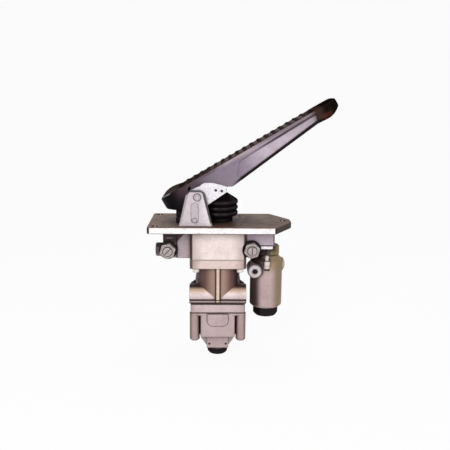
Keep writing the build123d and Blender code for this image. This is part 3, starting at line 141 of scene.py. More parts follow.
class PedalSettings(PropertyGroup):
    """Looks of the treadle casting and the tread on it."""

    flank: colour_setting("Flank", "Pale flank", (186, 172, 184))
    shade: colour_setting("Shade", "Flank near the bracket", (134, 121, 136))
    # The black heel is partly painted shade, and the dark lower lip is painted shade.
    heel: colour_setting("Heel", "Black heel", (8, 5, 10))
    lip: colour_setting("Lip", "Dark lower lip", (22, 13, 17))
    tread: colour_setting("Tread", "Ribbed rubber", (30, 20, 16))
    worn: colour_setting("Worn", "Worn rubber", (104, 86, 80))
    toe: colour_setting("Toe", "Toe cap", (12, 5, 1))
    rib_height: FloatProperty(name="Rib height", description="Tread ribs", default=0.0009, unit="LENGTH")
    rib_pitch: FloatProperty(name="Rib pitch", description="Tread ribs", default=0.0115, unit="LENGTH")
    rib_width: FloatProperty(name="Rib width", description="Tread ribs", default=0.006, unit="LENGTH")


class RubberSettings(PropertyGroup):
    """Sizes and looks of the rubber pieces."""

    black: colour_setting("Black", "Black rubber", (19, 12, 15))
    around: IntProperty(name="Steps", description="Steps round a turned piece", default=128)


class MetalSettings(PropertyGroup):
    """Looks of the steel pieces."""

    plate: colour_setting("Plate", "Plate top", (110, 89, 78))
    plate_edge: colour_setting("Edge", "Milled edge", (246, 242, 243))
    ear: colour_setting("Ear", "Ear face", (196, 186, 190))
    bracket: colour_setting("Bracket", "Lever bracket", (226, 222, 228))
    bright: colour_setting("Bright", "Bright steel", (178, 166, 166))
    dark: colour_setting("Dark", "Dark steel", (88, 76, 78))
    collar: colour_setting("Collar", "Collar of the side valve", (136, 118, 76))


def settings(kind):
    """The scene's settings of one kind."""
    return getattr(bpy.context.scene, "brake_valve_" + kind)


# Node trees


class Tree:
    """Adds nodes to one node tree. A socket or a value goes to each named input."""

    def __init__(self, tree):
        self.tree = tree
        self.made = {}

    def set(self, node, name, value):
        """Links a socket to an input, or writes a value into it."""
        entry = node.inputs[name]
        if isinstance(value, bpy.types.NodeSocket):
            self.tree.links.new(value, entry)
        elif entry.type == "RGBA":
            entry.default_value = (*value[:3], 1.0)
        else:
            entry.default_value = value

    def add(self, kind, inputs=None, **options):
        """A node of one kind, with its options and inputs set."""
        node = self.tree.nodes.new(kind)
        for name, value in options.items():
            setattr(node, name, value)
        for name, value in (inputs or {}).items():
            self.set(node, name, value)
        return node

    def math(self, operation, first, second=0.0, third=0.0):
        """One sum of up to three numbers."""
        return self.add("ShaderNodeMath", {0: first, 1: second, 2: third}, operation=operation).outputs[0]

    def times(self, *parts):
        """The product of several values."""
        product = parts[0]
        for part in parts[1:]:
            product = self.math("MULTIPLY", product, part)
        return product

    def ramp(self, value, low, high, out_low=0.0, out_high=1.0):
        """A value taken smoothly from one range to another; the range may run downwards."""
        limits = {"Value": value, "From Min": low, "From Max": high, "To Min": out_low, "To Max": out_high}
        return self.add("ShaderNodeMapRange", limits, interpolation_type="SMOOTHSTEP").outputs[0]

    def mix(self, share, first, second, blend="MIX", label=""):
        """Two colours mixed by a share."""
        node = self.add("ShaderNodeMix", {0: share}, data_type="RGBA", blend_type=blend, label=label)
        self.set(node, 6, first)
        self.set(node, 7, second)
        return node.outputs[2]

    def noise(self, vector, size, detail=4.0):
        """Soft noise whose blots are about one size wide, in metres."""
        places = {"Vector": vector, "Scale": 1.0 / size, "Detail": detail, "Roughness": 0.55}
        return self.add("ShaderNodeTexNoise", places).outputs["Fac"]

    def object_place(self):
        """The place on the piece in metres, in its own frame."""
        return self.add("ShaderNodeTexCoord").outputs["Object"]

    def object_normal(self):
        """The face's direction in the piece's own frame."""
        return self.add("ShaderNodeTexCoord").outputs["Normal"]

    def split(self, vector):
        """The three parts of a vector."""
        return self.add("ShaderNodeSeparateXYZ", {0: vector}).outputs

    def value(self, source):
        """A value from the name of an axis, which is made once in a tree, from a function of the tree, or
        as it is."""
        if callable(source):
            return source(self)
        if not isinstance(source, str):
            return source
        if source not in self.made:
            self.made[source] = AXES[source](self)
        return self.made[source]

    def region(self, share, *limits):
        """A share times its limits. Each is a mask, or a smooth ramp (value, from, to), which may also give
        what the ramp starts and ends at."""
        masks = []
        for limit in limits:
            if isinstance(limit, tuple):
                masks.append(self.ramp(self.value(limit[0]), *limit[1:]))
            else:
                masks.append(self.value(limit))
        return self.times(*masks, share)

    def laid(self, colour, *patches):
        """A colour with patches of paint laid over it in turn, each (name, paint, share, limits)."""
        for name, over, share, *limits in patches:
            colour = self.mix(self.region(share, *limits), colour, over, label=name)
        return colour


def new_group(name, inputs, outputs):
    """An empty shader group with named sockets, its tree, and its input and output nodes."""
    entry_kinds = {"value": "NodeSocketFloat", "colour": "NodeSocketColor", "vector": "NodeSocketVector"}
    made = bpy.data.node_groups.new(name, "ShaderNodeTree")
    for socket, (kind, value) in inputs.items():
        entry = made.interface.new_socket(socket, in_out="INPUT", socket_type=entry_kinds[kind])
        if value is not None:
            entry.default_value = (*value, 1.0) if kind == "colour" else value
    for socket, kind in outputs.items():
        made.interface.new_socket(socket, in_out="OUTPUT", socket_type=entry_kinds[kind])
    tree = Tree(made)
    return made, tree, tree.add("NodeGroupInput").outputs, tree.add("NodeGroupOutput")


def crevice_group():
    """Share of a point that lies in a corner or under an overhang, where dirt and shade gather."""
    inputs = {"Reach": ("value", 0.006), "Strength": ("value", 1.0)}
    made, tree, given, result = new_group("Crevice", inputs, {"Mask": "value"})
    shade = tree.add("ShaderNodeAmbientOcclusion", {"Distance": given["Reach"]}, samples=8)
    closed = tree.math("SUBTRACT", 1.0, shade.outputs["AO"])
    tree.set(result, "Mask", tree.times(tree.ramp(closed, 0.12, 0.75), given["Strength"]))
    return made


def rounded_edge_group():
    """Normals rounded over the edges, and a mask of how near a point is to an edge."""
    inputs = {"Radius": ("value", 0.0006), "Strength": ("value", 1.0)}
    outputs = {"Mask": "value", "Normal": "vector"}
    made, tree, given, result = new_group("Rounded edge", inputs, outputs)
    rounded = tree.add("ShaderNodeBevel", {"Radius": given["Radius"]}, samples=6).outputs[0]
    flat = tree.add("ShaderNodeNewGeometry").outputs["Normal"]
    same = tree.add("ShaderNodeVectorMath", {0: rounded, 1: flat}, operation="DOT_PRODUCT")
    turn = tree.ramp(tree.math("SUBTRACT", 1.0, same.outputs["Value"]), 0.003, 0.12)
    tree.set(result, "Mask", tree.times(turn, given["Strength"]))
    tree.set(result, "Normal", rounded)
    return made


def grain_group():
    """Blots, speckle and fine pits over a base colour, for cast, blasted and brushed faces."""
    inputs = {
        "Vector": ("vector", None),
        "Colour": ("colour", (0.5, 0.5, 0.5)),
        "Stain": ("colour", (0.2, 0.15, 0.12)),
        "Blot size": ("value", 0.02),
        "Blot share": ("value", 0.35),
        "Grain size": ("value", 0.0006),
        "Grain share": ("value", 0.15),
    }
    outputs = {"Colour": "colour", "Roughness": "value", "Height": "value"}
    made, tree, given, result = new_group("Grain", inputs, outputs)

    def blots(size, detail):
        scaled = tree.math("DIVIDE", 1.0, size)
        places = {"Vector": given["Vector"], "Scale": scaled, "Detail": detail, "Roughness": 0.6}
        return tree.add("ShaderNodeTexNoise", places).outputs["Fac"]

    wide = tree.ramp(blots(given["Blot size"], 5.0), 0.35, 0.72)
    fine = blots(given["Grain size"], 3.0)
    coarse = blots(tree.math("MULTIPLY", given["Grain size"], 4.0), 2.0)
    colour = tree.mix(tree.times(wide, given["Blot share"]), given["Colour"], given["Stain"])
    speckle = tree.times(tree.ramp(coarse, 0.54, 0.72), given["Grain share"])
    colour = tree.mix(speckle, colour, given["Stain"])
    bright = tree.times(tree.ramp(fine, 0.5, 0.25), given["Grain share"])
    colour = tree.mix(bright, colour, (1.0, 0.98, 0.97), "SOFT_LIGHT")
    tree.set(result, "Colour", colour)
    tree.set(result, "Roughness", tree.ramp(wide, 0.0, 1.0, 0.0, 0.14))
    tree.set(result, "Height", tree.math("MULTIPLY_ADD", coarse, 0.6, fine))
    return made


def pedal_place_group():
    """Place in the treadle's frame: along the tread from the pin, and above the pin, in millimetres."""
    outputs = {"Along": "value", "Above": "value"}
    made, tree, given, result = new_group("Pedal place", {"Vector": ("vector", None)}, outputs)
    parts = tree.split(given["Vector"])
    dx = tree.math("MULTIPLY_ADD", parts[0], 1 / MM, -PIN.x / MM)
    dz = tree.math("MULTIPLY_ADD", parts[2], 1 / MM, -PIN.z / MM)
    rise, run = math.sin(PEDAL_TILT), math.cos(PEDAL_TILT)
    tree.set(result, "Along", tree.math("MULTIPLY_ADD", dx, run, tree.times(dz, rise)))
    tree.set(result, "Above", tree.math("MULTIPLY_ADD", dx, -rise, tree.times(dz, run)))
    return made


def ring_group():
    """Ring about a line across the valve, for chamfers, rims and blind holes. A radius of 0 gives a disc."""
    inputs = {
        "Vector": ("vector", None),
        "Centre": ("vector", None),
        "Radius": ("value", 0.005),
        "Half width": ("value", 0.0005),
    }
    made, tree, given, result = new_group("Ring", inputs, {"Mask": "value"})
    offset = tree.add("ShaderNodeVectorMath", {0: given["Vector"], 1: given["Centre"]}, operation="SUBTRACT")
    flat = tree.add("ShaderNodeVectorMath", {0: offset.outputs[0], 1: (1.0, 0.0, 1.0)}, operation="MULTIPLY")
    reach = tree.add("ShaderNodeVectorMath", {0: flat.outputs[0]}, operation="LENGTH").outputs["Value"]
    gap = tree.math("ABSOLUTE", tree.math("SUBTRACT", reach, given["Radius"]))
    soft = tree.math("MULTIPLY", given["Half width"], 1.4)
    hard = tree.math("MULTIPLY", given["Half width"], 0.6)
    tree.set(result, "Mask", tree.ramp(gap, soft, hard))
    return made


GROUP_MAKERS = {
    "Crevice": crevice_group,
    "Rounded edge": rounded_edge_group,
    "Grain": grain_group,
    "Pedal place": pedal_place_group,
    "Ring": ring_group,
}
GROUPS = {}


def use_group(tree, name, inputs=None):
    """A shared group placed in a material; it is built the first time that it is asked for."""
    if name not in GROUPS:
        GROUPS[name] = GROUP_MAKERS[name]()
    node = tree.add("ShaderNodeGroup", node_tree=GROUPS[name])
    for entry, value in (inputs or {}).items():
        tree.set(node, entry, value)
    return node.outputs


def place_in_millimetres(tree):
    """The three parts of the place on the piece, in millimetres."""
    scaled = tree.add("ShaderNodeVectorMath", {0: tree.object_place(), "Scale": 1 / MM}, operation="SCALE")
    return tree.split(scaled.outputs[0])


def from_upright_axis(tree):
    """Distance from the valve's upright axis."""
    x, y = tree.value("x"), tree.value("y")
    return tree.math("SQRT", tree.math("ADD", tree.times(x, x), tree.times(y, y)))


def widest_part(tree):
    """Largest part of the normal, which is one where a face looks along an axis."""
    level = tree.math("MAXIMUM", tree.value("sideways"), tree.value("frontways"))
    return tree.math("MAXIMUM", level, tree.value("upward"))


# Values that patches of paint follow. Places are in millimetres, and parts of the normal go up to 1.
AXES = {
    "place": place_in_millimetres,
    "x": lambda tree: tree.value("place")[0],
    "y": lambda tree: tree.value("place")[1],
    "z": lambda tree: tree.value("place")[2],
    "aside": lambda tree: tree.math("ABSOLUTE", tree.value("x")),
    "from axis": from_upright_axis,
    "normal": lambda tree: tree.split(tree.object_normal()),
    "nx": lambda tree: tree.value("normal")[0],
    "ny": lambda tree: tree.value("normal")[1],
    "nz": lambda tree: tree.value("normal")[2],
    "sideways": lambda tree: tree.math("ABSOLUTE", tree.value("nx")),
    "frontways": lambda tree: tree.math("ABSOLUTE", tree.value("ny")),
    "upward": lambda tree: tree.math("ABSOLUTE", tree.value("nz")),
    "widest": widest_part,
    "pedal": lambda tree: use_group(tree, "Pedal place", {"Vector": tree.object_place()}),
    "along": lambda tree: tree.value("pedal")["Along"],
    "above": lambda tree: tree.value("pedal")["Above"],
}


def sloped(first, slope, second, start=0.0):
    """What one axis has over a line that rises with another: first - (slope * second + start)."""
    def over_line(tree):
        line = tree.math("MULTIPLY_ADD", tree.value(second), slope, start)
        return tree.math("SUBTRACT", tree.value(first), line)
    return over_line


def ring(middle, radius, half_width):
    """Mask of a ring about a line across the valve through a point, in metres."""
    inputs = {"Centre": tuple(middle), "Radius": radius, "Half width": half_width}
    return lambda tree: use_group(tree, "Ring", {"Vector": tree.object_place(), **inputs})["Mask"]


def emptied_tree(holder):
    """The node tree of a material or a world, without its nodes."""
    holder.use_nodes = True
    holder.node_tree.nodes.clear()
    return Tree(holder.node_tree)


def new_material(name):
    """A material, its tree and its Principled shader, which is linked to the output."""
    material = bpy.data.materials.new(name)
    tree = emptied_tree(material)
    shader = tree.add("ShaderNodeBsdfPrincipled")
    tree.add("ShaderNodeOutputMaterial", {"Surface": shader.outputs["BSDF"]})
    return material, tree, shader


def assign(material, *nodes):
    """Puts a material on CAD nodes."""
    for node in nodes:
        slots = NODES[node].data.materials
        slots.clear()
        slots.append(material)


# Looks of a metal: sizes and depths are in metres, and shares go from 0 to 1
METAL_LOOK = {
    "stain": paint(120, 92, 84),
    # The corner colour is soot and painted shade, laid where ambient occlusion finds corners.
    "soot": paint(26, 16, 18),
    "soot_share": 0.85,
    "reach": 0.005,
    "shade": paint(70, 50, 48),
    "shade_share": 0.0,
    "shade_reach": 0.03,
    "edge": 0.0006,
    "edge_share": 0.4,
    "blot": 0.02,
    "blot_share": 0.3,
    "grain": 0.0006,
    "grain_share": 0.15,
    "depth": 0.00012,
    "bump": 0.5,
    "metallic": 0.3,
    "specular": 0.35,
    "roughness": 0.42,
}


def finish_metal(tree, shader, colour, **changes):
    """Shared end of a metal: grain, wide painted shade, edges, soot and painted shade in corners, and a bump.
    """
    look = {**METAL_LOOK, **changes}
    grain = use_group(tree, "Grain", {
        "Vector": tree.object_place(),
        "Colour": colour,
        "Stain": look["stain"],
        "Blot size": look["blot"],
        "Blot share": look["blot_share"],
        "Grain size": look["grain"],
        "Grain share": look["grain_share"],
    })
    finished = grain["Colour"]
    if look["shade_share"]:
        inputs = {"Reach": look["shade_reach"], "Strength": look["shade_share"]}
        finished = tree.mix(use_group(tree, "Crevice", inputs)["Mask"], finished, look["shade"])
    edge = use_group(tree, "Rounded edge", {"Radius": look["edge"], "Strength": look["edge_share"]})
    finished = tree.mix(edge["Mask"], finished, look.get("edge_colour", colour))
    # Soot and painted shade in corners and gaps.
    crevice = use_group(tree, "Crevice", {"Reach": look["reach"], "Strength": look["soot_share"]})
    finished = tree.mix(crevice["Mask"], finished, look["soot"])
    tree.set(shader, "Base Color", finished)
    tree.set(shader, "Metallic", look["metallic"])
    tree.set(shader, "Specular IOR Level", look["specular"])
    tree.set(shader, "Roughness", tree.math("ADD", grain["Roughness"], look["roughness"]))
    bump = tree.add("ShaderNodeBump", {
        "Height": grain["Height"],
        "Distance": look["depth"],
        "Strength": look["bump"],
        "Normal": edge["Normal"],
    })
    tree.set(shader, "Normal", bump.outputs["Normal"])


def metal_material(name, base, look, *patches):
    """A metal: patches of paint laid over a base colour, and the shared end with one look."""
    material, tree, shader = new_material(name)
    finish_metal(tree, shader, tree.laid(tuple(base), *patches), **look)
    return material


def cast_look(**changes):
    """Values of a sand-cast alloy face."""
    casting = settings("casting")
    return {
        "edge": 0.0014,
        "edge_share": 0.55,
        # The brown edge colour is painted shade on the rounded edges.
        "edge_colour": tuple(casting.brown),
        "grain": casting.grain,
        "depth": casting.depth,
        "blot": 0.018,
        "blot_share": 0.22,
        "grain_share": 0.3,
        "shade_share": 0.7,
        **changes,
    }


def steel_look(colour, **changes):
    """Values of a machined or plated steel face with fine scratches."""
    return {
        "stain": paint(84, 72, 70),
        "soot": paint(12, 8, 10),
        "soot_share": 0.95,
        "reach": 0.004,
        "edge": 0.0007,
        "edge_share": 0.9,
        "edge_colour": tuple(min(0.92, 2.0 * part) for part in colour),
        "blot": 0.005,
        "blot_share": 0.3,
        "grain": 0.0003,
        "grain_share": 0.2,
        "depth": 0.00004,
        "metallic": 0.55,
        "roughness": 0.30,
        **changes,
    }


def steel_material(name, colour, **changes):
    """Machined or plated steel."""
    return metal_material(name, colour, steel_look(colour, **changes))


# Sizes of the rubber's blots, pits, worn edges, and corners with grime and painted shade, in metres
RUBBER_BLOTS = 0.014
RUBBER_PITS = 0.0007
RUBBER_PIT_DEPTH = 0.00012
RUBBER_EDGE = 0.0007
RUBBER_CREVICE = 0.006


def rubber_finish(tree, shader, colour, bloom, gloss, shine=0.25):
    """Shared end of a moulded rubber: soft bloom, worn edges, fine grain, and a gloss that fades to matt
    where the surface turns away."""
    place = tree.object_place()
    wide = tree.ramp(tree.noise(place, RUBBER_BLOTS), 0.38, 0.75)
    fine = tree.noise(place, RUBBER_PITS, 3.0)
    mixed = tree.mix(tree.times(wide, 0.4), colour, bloom)
    mixed = tree.mix(tree.times(tree.ramp(fine, 0.52, 0.8), 0.3), mixed, bloom)
    edge = use_group(tree, "Rounded edge", {"Radius": RUBBER_EDGE, "Strength": 0.35})
    mixed = tree.mix(edge["Mask"], mixed, bloom)
    # Corners get grime and painted shade.
    crevice = use_group(tree, "Crevice", {"Reach": RUBBER_CREVICE, "Strength": 0.8})
    mixed = tree.mix(crevice["Mask"], mixed, paint(8, 5, 6))
    tree.set(shader, "Base Color", mixed)
    facing = tree.add("ShaderNodeLayerWeight", {"Blend": 0.5}).outputs["Facing"]
    tree.set(shader, "Specular IOR Level", 0.0)
    tree.set(shader, "Coat Weight", tree.ramp(facing, 0.80, 0.35, 0.0, shine))
    tree.set(shader, "Coat Roughness", gloss)
    tree.set(shader, "Roughness", tree.ramp(wide, 0.0, 1.0, gloss, gloss + 0.16))
    bump = tree.add("ShaderNodeBump", {
        "Height": fine, "Distance": RUBBER_PIT_DEPTH, "Strength": 0.35, "Normal": edge["Normal"],
    })
    tree.set(shader, "Normal", bump.outputs["Normal"])


def rubber_material(name, colour, gloss=0.38):
    """Plain moulded rubber or plastic."""
    material, tree, shader = new_material(name)
    bloom = tuple(min(1.0, 2.2 * part + 0.006) for part in colour)
    rubber_finish(tree, shader, tuple(colour), bloom, gloss)
    return material


# Surfaces worked out on grids


# Distances below which points and edges are merged, in metres, and the angle of a sharp edge, in degrees
WELD = 1e-6
TINY = 1e-7
SHARP_ANGLE = 38.0

# Points on a round of a profile, and round a block or the toe cap
ROUND_STEPS = 6
BLOCK_STEPS = 96
BLOCK_POWER = 9.0


def grid_piece(name, points):
    """A smooth object from a grid of points, indexed [along][round][xyz] and closed round. Points that meet
    at a pole are merged, and every face is turned outwards."""
    rows, columns = points.shape[:2]
    index = np.arange(rows * columns).reshape(rows, columns)
    index = np.concatenate([index, index[:, :1]], axis=1)
    quads = np.stack([index[:-1, :-1], index[:-1, 1:], index[1:, 1:], index[1:, :-1]], axis=-1).reshape(-1, 4)
    mesh = bpy.data.meshes.new(name)
    mesh.vertices.add(rows * columns)
    mesh.vertices.foreach_set("co", points.astype(np.float32).ravel())
    mesh.loops.add(quads.size)
    mesh.loops.foreach_set("vertex_index", quads.astype(np.int32).ravel())
    mesh.polygons.add(len(quads))
    mesh.polygons.foreach_set("loop_start", np.arange(0, quads.size, 4, dtype=np.int32))
    mesh.update(calc_edges=True)
    work = bmesh.new()
    work.from_mesh(mesh)
    bmesh.ops.remove_doubles(work, verts=work.verts, dist=WELD)
    bmesh.ops.dissolve_degenerate(work, edges=work.edges, dist=TINY)
    bmesh.ops.recalc_face_normals(work, faces=work.faces)
    work.to_mesh(mesh)
    work.free()
    mesh.shade_smooth()
    mesh.set_sharp_from_angle(angle=math.radians(SHARP_ANGLE))
    piece = bpy.data.objects.new(name, mesh)
    bpy.context.scene.collection.objects.link(piece)
    return piece


def closed_ends(points):
    """The grid with its first and last row drawn together at their middles."""
    first = np.repeat(points[:1].mean(axis=1, keepdims=True), points.shape[1], axis=1)
    last = np.repeat(points[-1:].mean(axis=1, keepdims=True), points.shape[1], axis=1)
    return np.concatenate([first, points, last])


def rounded_profile(corners):
    """Profile through corners (across, up, round): each corner is the curve
    (1 - t)^2 a + 2 t (1 - t) b + t^2 c between points set back from it by its round."""
    points = np.array([corner[:2] for corner in corners], float)
    rounds = np.array([corner[2] for corner in corners], float)
    share = np.linspace(0.0, 1.0, ROUND_STEPS)[:, None]
    out = [points[:1]]
    for before, here, after, size in zip(points[:-2], points[1:-1], points[2:], rounds[1:-1]):
        back = before - here
        ahead = after - here
        reach = min(size, 0.49 * np.linalg.norm(back), 0.49 * np.linalg.norm(ahead))
        start = here + back / np.linalg.norm(back) * reach
        end = here + ahead / np.linalg.norm(ahead) * reach
        out.append((1 - share) ** 2 * start + 2 * share * (1 - share) * here + share ** 2 * end)
    out.append(points[-1:])
    return np.concatenate(out)


def even_profile(corners, count):
    """The rounded profile with points at even steps of its length."""
    points = rounded_profile(corners)
    length = np.concatenate([[0.0], np.cumsum(np.linalg.norm(np.diff(points, axis=0), axis=1))])
    steps = np.linspace(0.0, length[-1], count)
    return np.stack([np.interp(steps, length, points[:, 0]), np.interp(steps, length, points[:, 1])], axis=-1)


def turned_piece(name, corners, steps, middle=(0.0, 0.0, 0.0), across=False, wobble=0.0):
    """Surface of revolution (r cos a, r sin a, h) of a profile in millimetres, upright or across the valve.
    The radius may wobble by a share of sin(3 a) sin(h / 7), as soft rubber does."""
    profile = rounded_profile(corners)
    radius, height = profile[:, :1], profile[:, 1:]
    angle = np.linspace(0.0, 2 * np.pi, steps, endpoint=False)
    radius = radius * (1 + wobble * np.sin(3 * angle) * np.sin(height / 7))
    first = radius * np.cos(angle)
    second = radius * np.sin(angle)
    level = np.repeat(height, steps, axis=1)
    parts = (first, level, second) if across else (first, second, level)
    return grid_piece(name, np.stack(parts, axis=-1) * MM + np.array(middle))


def superellipse(power):
    """Both parts of a closed curve of size one, |cos t|^(2 / power) and |sin t|^(2 / power), with the
    signs kept."""
    angle = np.linspace(0.0, 2 * np.pi, BLOCK_STEPS, endpoint=False)
    return [np.sign(part) * np.abs(part) ** (2 / power) for part in (np.cos(angle), np.sin(angle))]


def moulded_block(name, low, high, corners):
    """Upright block between two corners of space. Each level is a superellipse with half sizes a - inset
    and b - inset. The profile gives the inset in millimetres and the share of the height from 0 to 1."""
    profile = rounded_profile(corners)
    inset = profile[:, :1] * MM
    wide, deep = superellipse(BLOCK_POWER)
    half = (high - low) / 2
    middle = (high + low) / 2
    x = middle.x + (half.x - inset) * wide
    y = middle.y + (half.y - inset) * deep
    z = np.repeat(low.z + (high.z - low.z) * profile[:, 1:], BLOCK_STEPS, axis=1)
    return grid_piece(name, closed_ends(np.stack([x, y, z], axis=-1)))


def pedal_points(along, across, above):
    """Places in the treadle's frame, in millimetres, turned by its tilt about the pin."""
    x = PIN.x + MM * (along * math.cos(PEDAL_TILT) - above * math.sin(PEDAL_TILT))
    z = PIN.z + MM * (along * math.sin(PEDAL_TILT) + above * math.cos(PEDAL_TILT))
    return np.stack(np.broadcast_arrays(x, across * MM, z), axis=-1)


def plan_half_width(inward, half, radius):
    """Half width of the treadle in plan, by the distance inward from its rounded end: straight, with a
    quarter circle at each corner."""
    past = np.clip(radius - inward, 0.0, radius)
    return half - (radius - np.sqrt(radius ** 2 - past ** 2))


def dress(piece, material, body, node):
    """Gives a new piece its material in a slot and its body, and hides the CAD node that it stands for."""
    piece.data.materials.append(material)
    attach(piece, body)
    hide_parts(node)
    return piece


# Operators, one for each piece or group of like pieces, with the materials that they use

# Limit of a patch on rounds and slopes, where a face looks along none of the three axes
ROUNDS = ("widest", 0.985, 0.90)


def upper_material(casting):
    """Pale upper block with painted shade on its sides, its rounds and under the plate, and a recess at the
    upper left of its front in painted shade with a painted highlight streak.
    """
    front = ("y", 4, -12)
    return metal_material(
        "Upper casting", casting.upper, cast_look(shade_share=0.35),
        # Painted shade on the sides, the recess, under the plate and on the rounds; the streak is a painted
        # highlight.
        ("sides", paint(160, 140, 138), 0.55, ("aside", 18, 36)),
        ("port block", paint(172, 158, 164), 1.0, ("x", -38, -42)),
        ("right lug", paint(182, 166, 180), 1.0, ("x", 40, 46)),
        ("recess", paint(14, 6, 16), 0.98, (sloped("x", 0.9, "z"), -40, -43.5), ("x", -42, -45), front),
        ("streak", paint(150, 134, 160), 0.75, ("z", -13, -12.2), ("z", -10.2, -11), ("x", -72.5, -70.5),
         ("x", -62, -64), front),
        ("under plate", paint(24, 12, 18), 0.9, ("z", -4.2, -1.5), ("aside", 34, 38)),
        ("rounds", paint(50, 32, 32), 0.97, ROUNDS, ("z", -1, -4)),
    )


def middle_material(casting):
    """Middle housing: pale flange with painted shade on its ends and rounds, saddles with painted shade on
    their tops and a painted gold light on their rounds, a brown waist in painted shade that darkens towards
    its sides, a painted highlight on the rib with painted shade along it, and dark seams at the base flange.
    """
    material, tree, shader = new_material("Middle casting")
    # The waist's brown is painted shade under the flange, darker towards its sides.
    waist = tree.laid(
        paint(156, 128, 116),
        ("waist sides", paint(92, 62, 58), 1.0, ("aside", 6, 20)),
        ("waist rims", paint(44, 26, 30), 1.0, ("aside", 20, 28)),
    )
    # Saddles: painted shade on their tops, a painted gold light on their rounds, pale fronts.
    saddle = tree.laid(
        paint(48, 28, 28),
        ("saddle round", paint(206, 178, 154), 1.0, ("nz", 0.92, 0.70)),
        ("saddle front", tuple(casting.middle), 1.0, ("nz", 0.70, 0.35)),
    )
    flange = tree.laid(
        paint(216, 195, 188),
        # Painted shade on the flange's ends.
        ("flange ends", paint(132, 110, 108), 0.6, ("aside", 22, 37)),
    )
    seam = paint(26, 14, 14)
    colour = tree.laid(
        waist,
        ("saddle", saddle, 1.0, ("from axis", 31.1, 31.8), ("z", -75, -79)),
        ("flange", flange, 1.0, ("z", -53.5, -51.5)),
        ("foot", paint(196, 176, 172), 1.0, ("z", -97.8, -98.4), ("ny", -0.7, -0.9)),
        # A painted highlight on the rib, painted shade along both sides of it, and painted shade on the
        # flange rounds.
        ("rib", paint(222, 196, 176), 0.85, ("aside", 2.7, 1.9), ("y", -31.2, -32.6), ("z", -50.5, -53)),
        ("rib lines", paint(44, 26, 24), 0.85, ("aside", 1.9, 2.6), ("aside", 4.7, 4), ("z", -51.5, -54.5)),
        ("flange rounds", paint(70, 50, 46), 0.9, ROUNDS, ("z", -53.5, -51.5)),
        ("upper seam", seam, 0.94, ("z", -99, -98.5), ("z", -96.9, -97.4)),
        ("lower seam", seam, 0.94, ("z", -100, -100.6)),
    )
    finish_metal(tree, shader, colour, **cast_look(shade_share=0.45))
    return material


def side_material(casting):
    """Side valve: painted shade where it faces the housing and on its upper left shoulder, a painted
    highlight on the bolt lug, and olive on its far flank.
    """
    return metal_material(
        "Side valve casting", casting.side, cast_look(shade_share=0.8),
        ("far flank", paint(134, 115, 92), 1.0, ("nx", 0.15, 0.70)),
        # Painted shade on the flank that faces the housing and on the shoulder; the bolt lug is a painted
        # highlight.
        ("housing shade", paint(40, 26, 30), 0.94, ("nx", -0.30, -0.72), ("x", 66, 58)),
        ("shoulder", paint(36, 22, 26), 0.85, ("x", 68, 58), ("z", -68, -58)),
        ("olive top", paint(136, 116, 76), 0.75, ("x", 64, 72), ("z", -66, -50)),
        ("bolt lug", paint(214, 198, 194), 0.9, ("x", 63.9, 64.5), ("x", 71.7, 71.1), ("y", -22, -24),
         ("z", -60, -56)),
    )


def stack_plate_material(casting):
    """Stack plate: pale, with painted shade on its ends."""
    return metal_material(
        "Stack plate casting", casting.plate, cast_look(shade_share=0.2, edge=0.0022, edge_share=0.8),
        ("ends", paint(136, 116, 114), 0.5, ("aside", 26, 38)),
    )


def lower_material(casting):
    """Lower housing: pale faces, and bolt columns in a darker tone with painted shade on their flanks."""
    columns = ("aside", 24.6, 25.2)
    return metal_material(
        "Lower casting", casting.lower, cast_look(shade_share=0.6, edge=0.0020, edge_share=0.8),
        ("columns", paint(152, 126, 122), 0.5, columns),
        # Painted shade on the column flanks that turn away.
        ("column flanks", paint(92, 66, 54), 0.8, columns, ("sideways", 0.25, 0.95)),
    )


class BRAKEVALVE_OT_housings(Operator):
    """Finish of the cast housings, the stack plate and the side valve"""

    bl_idname = "brake_valve.housings"
    bl_label = "Cast housings"

    def execute(self, context):
        casting = settings("casting")
        assign(upper_material(casting), "upper_housing")
        assign(middle_material(casting), "middle_housing")
        assign(stack_plate_material(casting), "intermediate_plate")
        assign(lower_material(casting), "lower_housing")
        assign(side_material(casting), "side_valve_body")
        return {"FINISHED"}


def plate_material(metal):
    """Brown phosphated top with painted shade round the boot, pale milled long edges and brown cut corners.
    """
    return metal_material(
        "Plate steel", metal.plate,
        {
            "stain": paint(92, 70, 56), "soot": paint(40, 26, 20), "soot_share": 0.7, "reach": 0.012,
            "edge": 0.0008, "edge_share": 0.5, "edge_colour": paint(90, 68, 54),
            "blot": 0.012, "grain": 0.0007, "grain_share": 0.25,
            "metallic": 0.1, "specular": 0.2, "roughness": 0.5, "bump": 0.3,
        },
        ("milled edges", tuple(metal.plate_edge), 1.0, ("frontways", 0.975, 0.995)),
        # Painted shade on the top round the boot.
        ("warm middle", paint(64, 34, 26), 0.8, ("from axis", 74, 36), ("upward", 0.6, 0.75)),
        ("cut ends", paint(34, 20, 10), 1.0, ("upward", 0.75, 0.6), ("frontways", 0.995, 0.975)),
    )


EAR_TOP = 20.0


